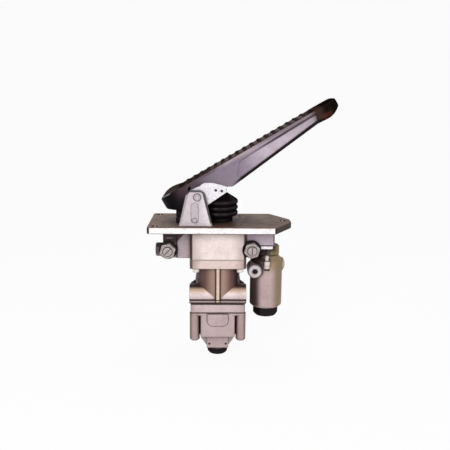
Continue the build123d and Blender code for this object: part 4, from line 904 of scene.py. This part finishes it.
def ear_rim_shade(tree):
    """Mask of the ear's rim of painted shade: its sloped sides, the corners of its crown and its top."""
    low, high = lowest("front_ear") / MM, highest("front_ear") / MM
    x, z = tree.value("x"), tree.value("z")
    middle = (low.x + high.x) / 2
    narrowing = (high.x - low.x - EAR_TOP) / 2 / (high.z - low.z)
    half = tree.math("MULTIPLY_ADD", z, -narrowing, (high.x - low.x) / 2 + low.z * narrowing)
    inward = tree.math("SUBTRACT", half, tree.math("ABSOLUTE", tree.math("SUBTRACT", x, middle)))
    below_top = tree.math("SUBTRACT", high.z, z)
    sides = tree.region(1.0, (inward, 2.6, 1.4), ("x", middle - 9, middle - 2, 0.45, 1.0))
    crown = tree.ramp(tree.math("ADD", inward, below_top), 6.2, 4.6)
    return tree.math("MAXIMUM", sides, tree.math("MAXIMUM", crown, tree.ramp(below_top, 2.4, 1.4)))


def ear_material(metal):
    """Pale speckled ear with a rim of painted shade, a shaded slot and a ringed rivet."""
    middle = centre("front_ear").x
    bottom = lowest("front_ear").z
    rivet = (middle - 0.001, 0.0, bottom + 0.0076)
    middle, bottom = middle / MM, bottom / MM
    return metal_material(
        "Ear steel", metal.ear,
        {
            "stain": paint(140, 128, 138), "soot_share": 0.7, "reach": 0.002, "edge_share": 0.0,
            "blot": 0.006, "blot_share": 0.2, "grain_share": 0.36, "depth": 0.00008,
            "metallic": 0.25, "roughness": 0.48,
        },
        ("lit side", paint(222, 214, 218), 1.0, ("x", middle + 4, middle + 18)),
        ("rivet", paint(110, 100, 106), 0.7, ring(rivet, 0.0031, 0.0005)),
        ("slot", paint(150, 140, 148), 0.35, ("x", middle - 6.7, middle - 6.2),
         ("x", middle + 4.7, middle + 4.2), ("z", 12.5, 13.3), ("z", 41.1, 40.3)),
        # The rim is painted shade.
        ("rim", paint(34, 22, 26), 1.0, ear_rim_shade, ("z", bottom + 1, bottom + 6, 0.4, 0.95)),
    )


def bracket_material(metal):
    """Bright bracket with blue-grey speckle, painted shade in two blind marks and a painted shadow on its
    upper corner.
    """
    mark = paint(30, 20, 26)
    return metal_material(
        "Bracket casting", metal.bracket,
        {
            "stain": paint(140, 136, 150), "reach": 0.004, "soot_share": 0.8, "edge": 0.0007,
            "edge_colour": paint(110, 100, 110), "blot": 0.003, "blot_share": 0.22, "grain_share": 0.45,
            "metallic": 0.2, "roughness": 0.5,
        },
        # Painted shade in the marks, and a painted shadow on the corner.
        ("left mark", mark, 1.0, ring((-0.0036, 0.0, 0.0564), 0.0, 0.0017)),
        ("right mark", mark, 1.0, ring((0.0044, 0.0, 0.0555), 0.0, 0.0017)),
        ("corner", paint(54, 40, 50), 1.0, (sloped("z", 0.46, "x", 73.1), 0, 0.8), ("x", -22, -25)),
    )


class BRAKEVALVE_OT_plate(Operator):
    """Finish of the mounting plate, the ears and the lever bracket"""

    bl_idname = "brake_valve.plate"
    bl_label = "Plate, ears and bracket"

    def execute(self, context):
        metal = settings("metal")
        assign(plate_material(metal), "mounting_plate")
        assign(ear_material(metal), "front_ear", "rear_ear")
        assign(bracket_material(metal), "lever_bracket")
        return {"FINISHED"}


def pedal_material(pedal):
    """Treadle casting: a pale flank that darkens in painted shade towards a black heel, itself partly painted
    shade, painted shade in the crease under the tread and on the lower lip, and a painted highlight along the
    rail under the tread.
    """
    material, tree, shader = new_material("Pedal casting")
    crease = sloped("above", 0.0245, "along", 11.6)
    lip = tree.region(1.0, (sloped("above", 0.122, "along", -18.0), 3.8, 2.4), ("along", 44, 64))
    near_toe = tree.region(0.85, ("along", 178, 192))
    rail = tree.laid(
        paint(96, 76, 88),
        ("rail middle", paint(164, 148, 156), 1.0, ("along", 30, 60)),
        ("rail end", paint(122, 108, 116), 1.0, ("along", 90, 120)),
    )
    # Painted shade darkens the flank towards the heel and fills the crease and the lower lip; the rail is a
    # painted highlight.
    colour = tree.laid(
        tuple(pedal.heel),
        ("shade", tuple(pedal.shade), 1.0, ("along", -34, 60)),
        ("brown", paint(84, 60, 66), 0.6, ("along", -28, -12), ("along", 20, 4), ("above", 4, 12)),
        ("flank", tuple(pedal.flank), 1.0, ("along", 62, 120)),
        ("far flank", paint(170, 158, 168), 1.0, ("along", 130, 165)),
        ("crease", paint(66, 50, 60), 0.95, ("along", 70, 130, 0.15, 1.0), ("along", 30, 60),
         (crease, -2.6, -1), (crease, 2.6, 1)),
        ("rail", rail, 0.9, ("above", 16.5, 17.5), ("along", 6, 20)),
        ("near toe", paint(62, 44, 40), 1.0, near_toe),
        ("lip", tuple(pedal.lip), 1.0, lip),
    )
    clear = tree.math("SUBTRACT", 1.0, tree.math("MAXIMUM", lip, near_toe))
    pale = tree.region(clear, ("along", -30, 40))
    finish_metal(
        tree, shader, colour,
        stain=tree.mix(pale, paint(22, 16, 22), paint(110, 96, 106)), reach=0.0016, soot_share=0.4,
        edge=0.0007, edge_share=0.0, blot=0.012, grain_share=0.3, metallic=0.0, specular=0.06, bump=0.35,
    )
    return material


class BRAKEVALVE_OT_pedal(Operator):
    """Finish of the treadle casting"""

    bl_idname = "brake_valve.pedal"
    bl_label = "Treadle casting"

    def execute(self, context):
        assign(pedal_material(settings("pedal")), "pedal_body")
        return {"FINISHED"}


# Sizes of the tread and the toe cap in the treadle's frame, in millimetres

TREAD_DECK = 18.2
TREAD_SHEET = 20.4
TREAD_HEEL = -44.0
TREAD_TOE = 191.0
TREAD_HALF = 29.5
TREAD_STEP = 0.5
TREAD_ROUND = 17.0
TREAD_CORNER = 0.9
TREAD_SAG = 0.25
ROLL_END = -14.0
ROLL_HEIGHT = 2.6
FIRST_RIB = -9.0
LAST_RIB = 185.0
RIB_SLOPE = 1.1
TOE_END = 223.5
TOE_TOP = 21.4
TOE_NOSE = 15.5
TOE_HALF = 32.5
TOE_ROUND = 18.0
TOE_POWER = 7
TOE_BOW = 0.2


def tread_heights(along, pedal):
    """Height of the tread: a sheet, a roll h sin(pi u^0.8) over the heel, and ribs that are smooth steps
    3 t^2 - 2 t^3 up and down."""
    pitch = pedal.rib_pitch / MM
    width = pedal.rib_width / MM
    place = np.mod(along - FIRST_RIB, pitch)
    rise = np.clip(np.minimum(place, width - place) / RIB_SLOPE, 0.0, 1.0)
    ribs = pedal.rib_height / MM * rise ** 2 * (3 - 2 * rise)
    ribs = np.where((along > FIRST_RIB) & (along < LAST_RIB), ribs, 0.0)
    share = np.clip((along - TREAD_HEEL) / (ROLL_END - TREAD_HEEL), 0.0, 1.0)
    return TREAD_SHEET + ribs + ROLL_HEIGHT * np.sin(np.pi * share ** 0.8)


def tread_points(pedal):
    """Cross sections of the tread, one each half millimetre: rectangles whose top corners are arcs, and
    whose top sags by s (1 - v^2) across its width."""
    along = np.arange(TREAD_HEEL, TREAD_TOE + TREAD_STEP / 2, TREAD_STEP)[:, None]
    half = plan_half_width(along - TREAD_HEEL, TREAD_HALF, TREAD_ROUND)
    top = tread_heights(along, pedal)
    corner = TREAD_CORNER
    turn = np.linspace(0.0, np.pi / 2, 7)
    right_across = half - corner + corner * np.cos(turn)
    arc_above = top - corner + corner * np.sin(turn)
    width_share = np.linspace(1.0, -1.0, 9)[1:-1]
    middle_across = (half - corner) * width_share
    middle_above = top - TREAD_SAG * (1 - width_share ** 2)
    across = np.concatenate([half, right_across, middle_across, -right_across[:, ::-1], -half], axis=1)
    deck = np.full_like(half, TREAD_DECK)
    above = np.concatenate([deck, arc_above, middle_above, arc_above[:, ::-1], deck], axis=1)
    return closed_ends(pedal_points(along, across, above))


def tread_material(pedal):
    """Black-brown rubber, rubbed pale on the rib tops, with a painted highlight on its side wall and on the
    worn heel rim.
    """
    material, tree, shader = new_material("Tread rubber")
    wear = tree.noise(tree.object_place(), 0.004)
    colour = tree.laid(
        tuple(pedal.tread),
        ("rubbed", tuple(pedal.worn), 0.55, ("above", 20.7, 21.3), (wear, 0.40, 0.66), ("along", 196, 180),
         ("along", -14, -4)),
        ("roll", paint(56, 44, 46), 0.8, ("along", -4, -14), ("above", 20.8, 21.6)),
        # The side wall and the heel rim get painted highlights; the heel rim is also worn.
        ("side wall", paint(150, 134, 136), 0.85, ("above", 20.5, 19.8), ("along", 10, 50),
         ("along", 186, 176)),
        ("heel rim", paint(206, 198, 202), 0.9, ("along", -29, -33), ("above", 17.8, 18.4),
         ("above", 21.4, 20.8)),
    )
    rubber_finish(tree, shader, colour, tree.mix(0.5, colour, tuple(pedal.worn)), 0.4)
    return material


class BRAKEVALVE_OT_tread(Operator):
    """Ribbed rubber tread with its heel roll"""

    bl_idname = "brake_valve.tread"
    bl_label = "Rubber tread"

    def execute(self, context):
        pedal = settings("pedal")
        piece = grid_piece("tread_sheet", tread_points(pedal))
        dress(piece, tread_material(pedal), "pedal", "pedal_pad")
        return {"FINISHED"}


def toe_points():
    """Sections of the toe cap from its upper to its lower side line, as superellipses
    across = w |cos a|^(2/7) and up = |sin a|^(2/7), with the signs kept. The rear edge is bowed: the way
    along goes from the lower to the upper line with the fifth root of the height."""
    count = 40
    nose = (TOE_END, TOE_NOSE, 0.0)
    lower = even_profile([(179.0, 2.9, 0.0), (206.0, 1.2, 9.0), (TOE_END, 9.7, 6.0), nose], count)
    upper = even_profile([(190.0, TOE_TOP, 0.0), (TOE_END, TOE_TOP, 3.2), nose], count)
    across, up = superellipse(TOE_POWER)
    share = 0.5 + 0.5 * up
    along = lower[:, :1] + (upper[:, :1] - lower[:, :1]) * share ** TOE_BOW
    above = lower[:, 1:] + (upper[:, 1:] - lower[:, 1:]) * share
    half = plan_half_width(TOE_END - along, TOE_HALF, TOE_ROUND)
    return closed_ends(pedal_points(along, half * across, above))


def toe_material(pedal):
    """Near-black toe rubber with a reddish sheen low on its flank."""
    material, tree, shader = new_material("Toe rubber")
    colour = tree.laid(
        tuple(pedal.toe),
        ("sheen", paint(62, 43, 38), 0.85, ("along", 205, 194), ("above", 5, 8)),
        ("glow", paint(84, 40, 28), 0.5, ("along", 192, 198), ("along", 212, 206), ("above", 3, 6),
         ("above", 12, 9)),
    )
    rubber_finish(tree, shader, colour, paint(34, 20, 12), 0.34, shine=0.06)
    return material


class BRAKEVALVE_OT_toe(Operator):
    """Rubber cap moulded round the toe"""

    bl_idname = "brake_valve.toe"
    bl_label = "Toe cap"

    def execute(self, context):
        piece = grid_piece("toe_cap", toe_points())
        dress(piece, toe_material(settings("pedal")), "pedal", "pedal_pad")
        return {"FINISHED"}


# Half sections of the turned rubber pieces, as corners (radius, height, round) in millimetres

BOOT_SECTION = [
    (18.3, 9.3, 0.0), (20.3, 9.3, 0.8), (20.3, 15.4, 2.2), (26.6, 17.6, 1.6), (27.7, 20.9, 2.6),
    (26.9, 23.6, 1.4), (23.7, 24.75, 1.2), (26.9, 26.0, 1.4), (27.7, 28.6, 2.4), (26.9, 31.3, 1.4),
    (23.7, 32.45, 1.2), (26.9, 33.7, 1.4), (27.7, 36.3, 2.4), (27.0, 39.4, 1.6), (10.6, 49.9, 2.0),
    (9.1, 51.6, 0.8), (7.8, 51.6, 0.4), (7.9, 49.0, 0.4), (6.4, 47.0, 0.3), (6.4, 44.2, 0.3),
    (9.0, 43.6, 1.0), (24.6, 36.6, 1.5), (22.0, 32.4, 1.0), (24.9, 28.6, 1.5), (22.0, 24.75, 1.0),
    (24.9, 20.9, 1.5), (18.3, 16.6, 1.0), (18.3, 9.3, 0.0),
]
# Share of the boot's radius that wobbles
BOOT_WOBBLE = 0.004


class BRAKEVALVE_OT_boot(Operator):
    """Rubber bellows round the plunger"""

    bl_idname = "brake_valve.boot"
    bl_label = "Boot"

    def execute(self, context):
        rubber = settings("rubber")
        piece = turned_piece("boot_bellows", BOOT_SECTION, rubber.around, wobble=BOOT_WOBBLE)
        piece.data.materials.append(rubber_material("Boot rubber", rubber.black, gloss=0.3))
        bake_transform(piece)
        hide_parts("boot")
        return {"FINISHED"}


# Section of the heel buffer, as corners (inset in millimetres, share of the height, round)
BUFFER_SECTION = [
    (1.2, 0.0, 0.0), (0.0, 0.04, 0.3), (0.0, 0.34, 0.1), (0.9, 0.40, 0.1), (0.9, 0.46, 0.1),
    (0.0, 0.52, 0.1), (0.0, 0.86, 0.1), (0.8, 0.96, 0.1), (2.6, 1.0, 0.0),
]


class BRAKEVALVE_OT_buffer(Operator):
    """Rubber block that the heel rests on"""

    bl_idname = "brake_valve.buffer"
    bl_label = "Heel buffer"

    def execute(self, context):
        low, high = lowest("rest_buffer"), highest("rest_buffer")
        piece = moulded_block("heel_buffer", low, high, BUFFER_SECTION)
        material = rubber_material("Buffer rubber", settings("rubber").black, gloss=0.45)
        dress(piece, material, "valve", "rest_buffer")
        return {"FINISHED"}


# Millimetres that the soft cap hangs below the plain solid, and sizes of its section
CAP_HANG = 1.4
CAP_HEIGHT = 9.5
CAP_BORE = 4.0
CAP_INNER = 9.0
CAP_FLOOR = 3.0
CAP_GROOVE = 0.7
CAP_NECK = 0.34


class BRAKEVALVE_OT_exhaust(Operator):
    """Rubber exhaust cap under the bowl"""

    bl_idname = "brake_valve.exhaust"
    bl_label = "Exhaust cap"

    def execute(self, context):
        node = "exhaust_silencer"
        bottom = lowest(node).z / MM - CAP_HANG
        top = highest(node).z / MM
        outer = (highest(node).x - lowest(node).x) / 2 / MM
        neck = outer - CAP_NECK
        groove = outer - CAP_GROOVE
        step = bottom + CAP_HANG + CAP_HEIGHT
        inside = bottom + CAP_FLOOR
        corners = [
            (CAP_BORE, inside, 0.0), (CAP_BORE, bottom, 0.5), (outer - 2.6, bottom, 1.6),
            (outer, bottom + 3.0, 1.8), (outer, bottom + 5.6, 0.3), (groove, bottom + 6.0, 0.3),
            (groove, bottom + 6.8, 0.3), (outer, bottom + 7.2, 0.3), (outer, step, 0.4), (neck, step, 0.1),
            (neck, top, 0.3), (CAP_INNER, top, 0.3), (CAP_INNER, inside, 0.5), (CAP_BORE, inside, 0.0),
        ]
        rubber = settings("rubber")
        piece = turned_piece("exhaust_cap", corners, rubber.around)
        material = rubber_material("Exhaust rubber", rubber.black, gloss=0.34)
        dress(piece, material, "valve", node)
        return {"FINISHED"}


# Sizes of the rubber washers, in millimetres
WASHER_RADIUS = 12.5
WASHER_BORE = 6.05


class BRAKEVALVE_OT_washers(Operator):
    """Thick rubber washers behind the lock nuts"""

    bl_idname = "brake_valve.washers"
    bl_label = "Rubber washers"

    def execute(self, context):
        node = "seal_washers"
        low, high = lowest(node), highest(node)
        front = low.y / MM
        back = high.y / MM
        bore, outer = WASHER_BORE, WASHER_RADIUS
        left = (low.x + outer * MM, 0.0, low.z + outer * MM)
        right = (high.x - outer * MM, 0.0, high.z - outer * MM)
        corners = [
            (bore, back, 0.0), (outer, back, 0.5), (outer, front + 1.0, 0.9), (outer - 1.3, front, 0.9),
            (9.6, front + 0.25, 0.6), (bore, front + 0.25, 0.2), (bore, back, 0.0),
        ]
        rubber = settings("rubber")
        material = rubber_material("Washer rubber", paint(22, 15, 18), gloss=0.5)
        for side, middle in (("left", left), ("right", right)):
            piece = turned_piece("washer_" + side, corners, rubber.around, middle, across=True)
            dress(piece, material, "valve", node)
        return {"FINISHED"}


# Name, colour, gloss and CAD nodes of the plain sheets and caps
SHEETS = (
    ("Pale gasket sheet", paint(222, 200, 190), 0.6, ("upper_gasket",)),
    ("Gasket sheet", paint(30, 18, 18), 0.6, ("middle_gasket", "lower_gasket", "side_gasket")),
    ("Black cap", paint(22, 15, 17), 0.3, ("side_cap",)),
)


class BRAKEVALVE_OT_rubber(Operator):
    """Finish of the hidden rubber pieces, the gaskets and the hexagon cap"""

    bl_idname = "brake_valve.rubber"
    bl_label = "Seals, gaskets and cap"

    def execute(self, context):
        black = rubber_material("Seal rubber", settings("rubber").black)
        assign(black, "graduating_spring", "primary_seal", "relay_seal")
        for name, colour, gloss, nodes in SHEETS:
            assign(rubber_material(name, colour, gloss), *nodes)
        return {"FINISHED"}


# Radius of the set screws, in metres
SCREW_RADIUS = 0.006


def nut_material(metal):
    """Lock nuts with a ring of painted shade round each screw and a line of painted shade inside the bright
    chamfer.
    """
    low, high = lowest("set_screws"), highest("set_screws")
    inset = Vector((SCREW_RADIUS, 0.0, SCREW_RADIUS))
    patches = []
    for middle in (low + inset, high - inset):
        patches.append(("ring", paint(40, 30, 32), 0.85, ring(middle, 0.0066, 0.0007)))
        patches.append(("line", paint(60, 48, 50), 0.7, ring(middle, 0.0088, 0.0005)))
    return metal_material("Nut steel", paint(196, 184, 180), steel_look(metal.bright, reach=0.0025), *patches)


def collar_material(metal):
    """Olive-gold collar, with painted shade on the side that faces the housing and a painted shadow under the
    flange.
    """
    look = steel_look(
        metal.collar, metallic=0.35, roughness=0.4, stain=paint(58, 44, 34), blot=0.009, blot_share=0.5,
        shade_share=0.9, shade_reach=0.012, edge_share=0.3,
    )
    return metal_material(
        "Collar brass", metal.collar, look,
        # Painted shade on the side that faces the housing, and a painted shadow under the flange.
        ("housing shade", paint(44, 28, 28), 1.0, ("nx", 0.45, -0.10)),
        ("under flange", paint(36, 22, 16), 0.9, ("z", -35, -30), ("x", 84, 78)),
    )


def side_bolt_material():
    """Side bolts, bright at the lug and shaded below the flange."""
    bright = paint(222, 208, 202)
    return metal_material(
        "Side bolt steel", bright, steel_look(bright, metallic=0.2, edge_share=0.0),
        ("shaded", paint(34, 22, 20), 1.0, ("z", -37.5, -34.5)),
    )


def pin_material(metal):
    """Pivot pin whose head has a dark rim and a faint inner ring."""
    return metal_material(
        "Pin steel", paint(196, 188, 196), steel_look(metal.bright, edge_share=0.0, metallic=0.4),
        ("rim", paint(64, 54, 60), 0.85, ring(PIN, 0.0047, 0.0006)),
        ("inner ring", paint(110, 100, 108), 0.4, ring(PIN, 0.0026, 0.0003)),
    )


def plug_material(metal):
    """Socket plug: bright rim and a socket in painted shade."""
    middle = centre("socket_plug")
    return metal_material(
        "Plug steel", paint(206, 194, 196), steel_look(metal.bright, reach=0.006, metallic=0.4),
        ("rim", paint(120, 106, 110), 0.5, ring(middle, 0.0078, 0.0004)),
        # The socket is painted shade.
        ("socket", paint(12, 8, 10), 0.97, ring(middle, 0.0, 0.0040)),
    )


# Name, colour, changes of the steel look and CAD nodes of the plain metals
METALS = (
    ("Plate screw steel", paint(106, 88, 77),
     {"metallic": 0.1, "roughness": 0.55, "edge_share": 0.8, "edge_colour": paint(60, 44, 36)},
     ("plate_screws",)),
    ("Blackened steel", paint(30, 20, 24),
     {"roughness": 0.5, "metallic": 0.1, "specular": 0.12, "edge_share": 0.3, "stain": paint(60, 46, 48)},
     ("body_bolts", "rear_nuts")),
    ("Flange screw steel", paint(232, 218, 212),
     {"metallic": 0.1, "edge": 0.0009, "edge_colour": paint(96, 76, 74)}, ("flange_screws",)),
    ("Turned alloy", paint(214, 212, 210), {},
     ("primary_piston", "upper_inlet_valve", "upper_valve_guide", "relay_piston", "lower_inlet_valve",
      "lower_valve_guide")),
    ("Spring wire", paint(150, 148, 152), {"roughness": 0.32},
     ("primary_return_spring", "upper_valve_spring", "relay_return_spring", "lower_valve_spring")),
    ("Bronze", paint(178, 140, 96), {"roughness": 0.4}, ("pivot_bushes",)),
    ("Flange alloy", paint(244, 236, 240), {"metallic": 0.2, "roughness": 0.4}, ("side_flange",)),
)


class BRAKEVALVE_OT_steel(Operator):
    """Finish of the screws, nuts, pins, plugs, springs and inner metal pieces"""

    bl_idname = "brake_valve.steel"
    bl_label = "Steel and inner pieces"

    def execute(self, context):
        metal = settings("metal")
        assign(nut_material(metal), "lock_nuts")
        assign(pin_material(metal), "pivot_pin")
        assign(plug_material(metal), "socket_plug")
        assign(side_bolt_material(), "side_bolts")
        assign(collar_material(metal), "side_collar")
        bright = steel_material("Bright steel", metal.bright)
        assign(bright, "bracket_screws", "plunger_guide", "plunger", "set_screws", "side_dome_plug")
        dark = steel_material("Dark steel", metal.dark, roughness=0.4, metallic=0.6, edge_share=0.4)
        assign(dark, "pin_clip", "port_plug")
        for name, colour, changes, nodes in METALS:
            assign(steel_material(name, colour, **changes), *nodes)
        return {"FINISHED"}


# Places of the stage, in metres, and the angles of the photograph's view, in degrees

CAMERA_TURN = -1.09
CAMERA_HEIGHT = 11.25
CAMERA_ROLL = 0.48
CAMERA_DISTANCE = 0.808
CAMERA_TARGET = (0.00869, -0.054, 0.01288)
CAMERA_SENSOR = 36.0
LAMP_TARGET = (0.04, 0.0, -0.02)
LAMPS = (
    ("Key", (-0.55, -1.6, 0.85), 0.9, "key_power"),
    ("Fill", (1.1, -1.3, 0.25), 0.8, "fill_power"),
    ("Top", (0.1, 0.25, 1.4), 1.1, "top_power"),
)
WHITE = (1.0, 1.0, 1.0)
PAPER = (0.88, 0.88, 0.88)
PAPER_GLOW = 0.93
FLOOR_HALF = 4.0
FLAT_END = 1.6
BEND = 0.6


def add_lamp(name, place, size, power):
    """Soft square lamp that faces the valve."""
    data = bpy.data.lights.new(name, "AREA")
    data.shape = "SQUARE"
    data.size = size
    data.energy = power
    lamp = bpy.data.objects.new(name, data)
    lamp.location = place
    lamp.rotation_euler = (Vector(LAMP_TARGET) - Vector(place)).to_track_quat("-Z", "Y").to_euler()
    bpy.context.scene.collection.objects.link(lamp)


def add_camera(lens):
    """Camera at the photograph's viewing angle, a little above the plate and square to its long edge."""
    turn, height, roll = (math.radians(angle) for angle in (CAMERA_TURN, CAMERA_HEIGHT, CAMERA_ROLL))
    back = Vector((math.sin(turn) * math.cos(height), -math.cos(turn) * math.cos(height), math.sin(height)))
    level = Vector((math.cos(turn), math.sin(turn), 0.0))
    upward = back.cross(level)
    right = level * math.cos(roll) + upward * math.sin(roll)
    upward = upward * math.cos(roll) - level * math.sin(roll)
    data = bpy.data.cameras.new("Camera")
    data.lens = lens
    data.sensor_width = CAMERA_SENSOR
    data.sensor_fit = "HORIZONTAL"
    data.clip_start = 0.01
    camera = bpy.data.objects.new("Camera", data)
    facing = Matrix((right, upward, back)).transposed().to_4x4()
    camera.matrix_world = Matrix.Translation(Vector(CAMERA_TARGET) + back * CAMERA_DISTANCE) @ facing
    bpy.context.scene.collection.objects.link(camera)
    bpy.context.scene.camera = camera


def seen_directly(tree):
    """One where a camera, glossy or transmission ray meets the surface."""
    path = tree.add("ShaderNodeLightPath").outputs
    glossy = tree.math("MAXIMUM", path["Is Glossy Ray"], path["Is Transmission Ray"])
    return tree.math("MAXIMUM", path["Is Camera Ray"], glossy)


def backdrop_material():
    """White paper that keeps the object's shadow."""
    material = bpy.data.materials.new("Backdrop paper")
    tree = emptied_tree(material)
    paper = tree.add("ShaderNodeBsdfDiffuse", {"Color": PAPER})
    glow = tree.add("ShaderNodeEmission", {"Color": WHITE, "Strength": 1.0})
    share = tree.math("MULTIPLY", seen_directly(tree), PAPER_GLOW)
    mixed = tree.add("ShaderNodeMixShader", {0: share, 1: paper.outputs[0], 2: glow.outputs[0]})
    tree.add("ShaderNodeOutputMaterial", {"Surface": mixed.outputs[0]})
    return material


def backdrop_piece(level):
    """Floor that curves up behind: flat for y < a, then (a + R sin t, R (1 - cos t)) for a quarter turn,
    then upright."""
    turn = np.linspace(0.0, math.pi / 2, 24)
    y = np.concatenate([[-FLOOR_HALF], FLAT_END + BEND * np.sin(turn), [FLAT_END + BEND]])
    z = np.concatenate([[0.0], BEND * (1 - np.cos(turn)), [FLOOR_HALF]]) + level
    x = np.array([FLOOR_HALF, -FLOOR_HALF])
    points = np.stack(np.broadcast_arrays(x[None, :], y[:, None], z[:, None]), axis=-1)
    index = np.arange(2 * len(y)).reshape(-1, 2)
    quads = np.stack([index[:-1, 0], index[1:, 0], index[1:, 1], index[:-1, 1]], axis=-1)
    mesh = bpy.data.meshes.new("backdrop")
    mesh.from_pydata(points.reshape(-1, 3).tolist(), [], quads.tolist())
    mesh.shade_smooth()
    piece = bpy.data.objects.new("backdrop", mesh)
    bpy.context.scene.collection.objects.link(piece)
    return piece


class BRAKEVALVE_OT_stage(Operator):
    """Camera, soft lamps, pale room and a floor that curves up behind"""

    bl_idname = "brake_valve.stage"
    bl_label = "Stage"

    def execute(self, context):
        stage = settings("stage")
        scene = context.scene
        scene.view_settings.view_transform = "Standard"
        add_camera(stage.lens)
        for name, place, size, power in LAMPS:
            add_lamp(name, place, size, getattr(stage, power))
        floor = backdrop_piece(CAD_BOX[0][2] - stage.floor_gap)
        floor.data.materials.append(backdrop_material())
        world = scene.world or bpy.data.worlds.new("Room")
        scene.world = world
        tree = emptied_tree(world)
        room = tree.add("ShaderNodeBackground", {"Color": WHITE, "Strength": stage.room})
        white = tree.add("ShaderNodeBackground", {"Color": WHITE, "Strength": 1.0})
        mixed = tree.add("ShaderNodeMixShader", {
            0: seen_directly(tree), 1: room.outputs[0], 2: white.outputs[0],
        })
        tree.add("ShaderNodeOutputWorld", {"Surface": mixed.outputs[0]})
        return {"FINISHED"}


class BRAKEVALVE_PT_panel(Panel):
    """Lists the steps that dress the valve"""

    bl_idname = "BRAKEVALVE_PT_panel"
    bl_label = "Brake Valve"
    bl_space_type = "VIEW_3D"
    bl_region_type = "UI"
    bl_category = "Brake Valve"

    def draw(self, context):
        for name in STEPS:
            self.layout.operator("brake_valve." + name)
        for name, kind in SETTINGS.items():
            box = self.layout.box()
            box.label(text=name.capitalize())
            for entry in kind.__annotations__:
                box.prop(settings(name), entry)


SETTINGS = {
    "stage": StageSettings,
    "casting": CastingSettings,
    "pedal": PedalSettings,
    "rubber": RubberSettings,
    "metal": MetalSettings,
}
OPERATORS = (
    BRAKEVALVE_OT_housings,
    BRAKEVALVE_OT_plate,
    BRAKEVALVE_OT_pedal,
    BRAKEVALVE_OT_tread,
    BRAKEVALVE_OT_toe,
    BRAKEVALVE_OT_boot,
    BRAKEVALVE_OT_buffer,
    BRAKEVALVE_OT_exhaust,
    BRAKEVALVE_OT_washers,
    BRAKEVALVE_OT_rubber,
    BRAKEVALVE_OT_steel,
    BRAKEVALVE_OT_stage,
)
STEPS = [kind.bl_idname.split(".")[1] for kind in OPERATORS]


def register():
    for name, kind in SETTINGS.items():
        bpy.utils.register_class(kind)
        setattr(bpy.types.Scene, "brake_valve_" + name, PointerProperty(type=kind))
    for kind in OPERATORS:
        bpy.utils.register_class(kind)
    bpy.utils.register_class(BRAKEVALVE_PT_panel)


def unregister():
    bpy.utils.unregister_class(BRAKEVALVE_PT_panel)
    for kind in reversed(OPERATORS):
        bpy.utils.unregister_class(kind)
    for name, kind in SETTINGS.items():
        delattr(bpy.types.Scene, "brake_valve_" + name)
        bpy.utils.unregister_class(kind)


def main():
    register()
    for step in STEPS:
        getattr(bpy.ops.brake_valve, step)()


if __name__ == "__main__":
    main()
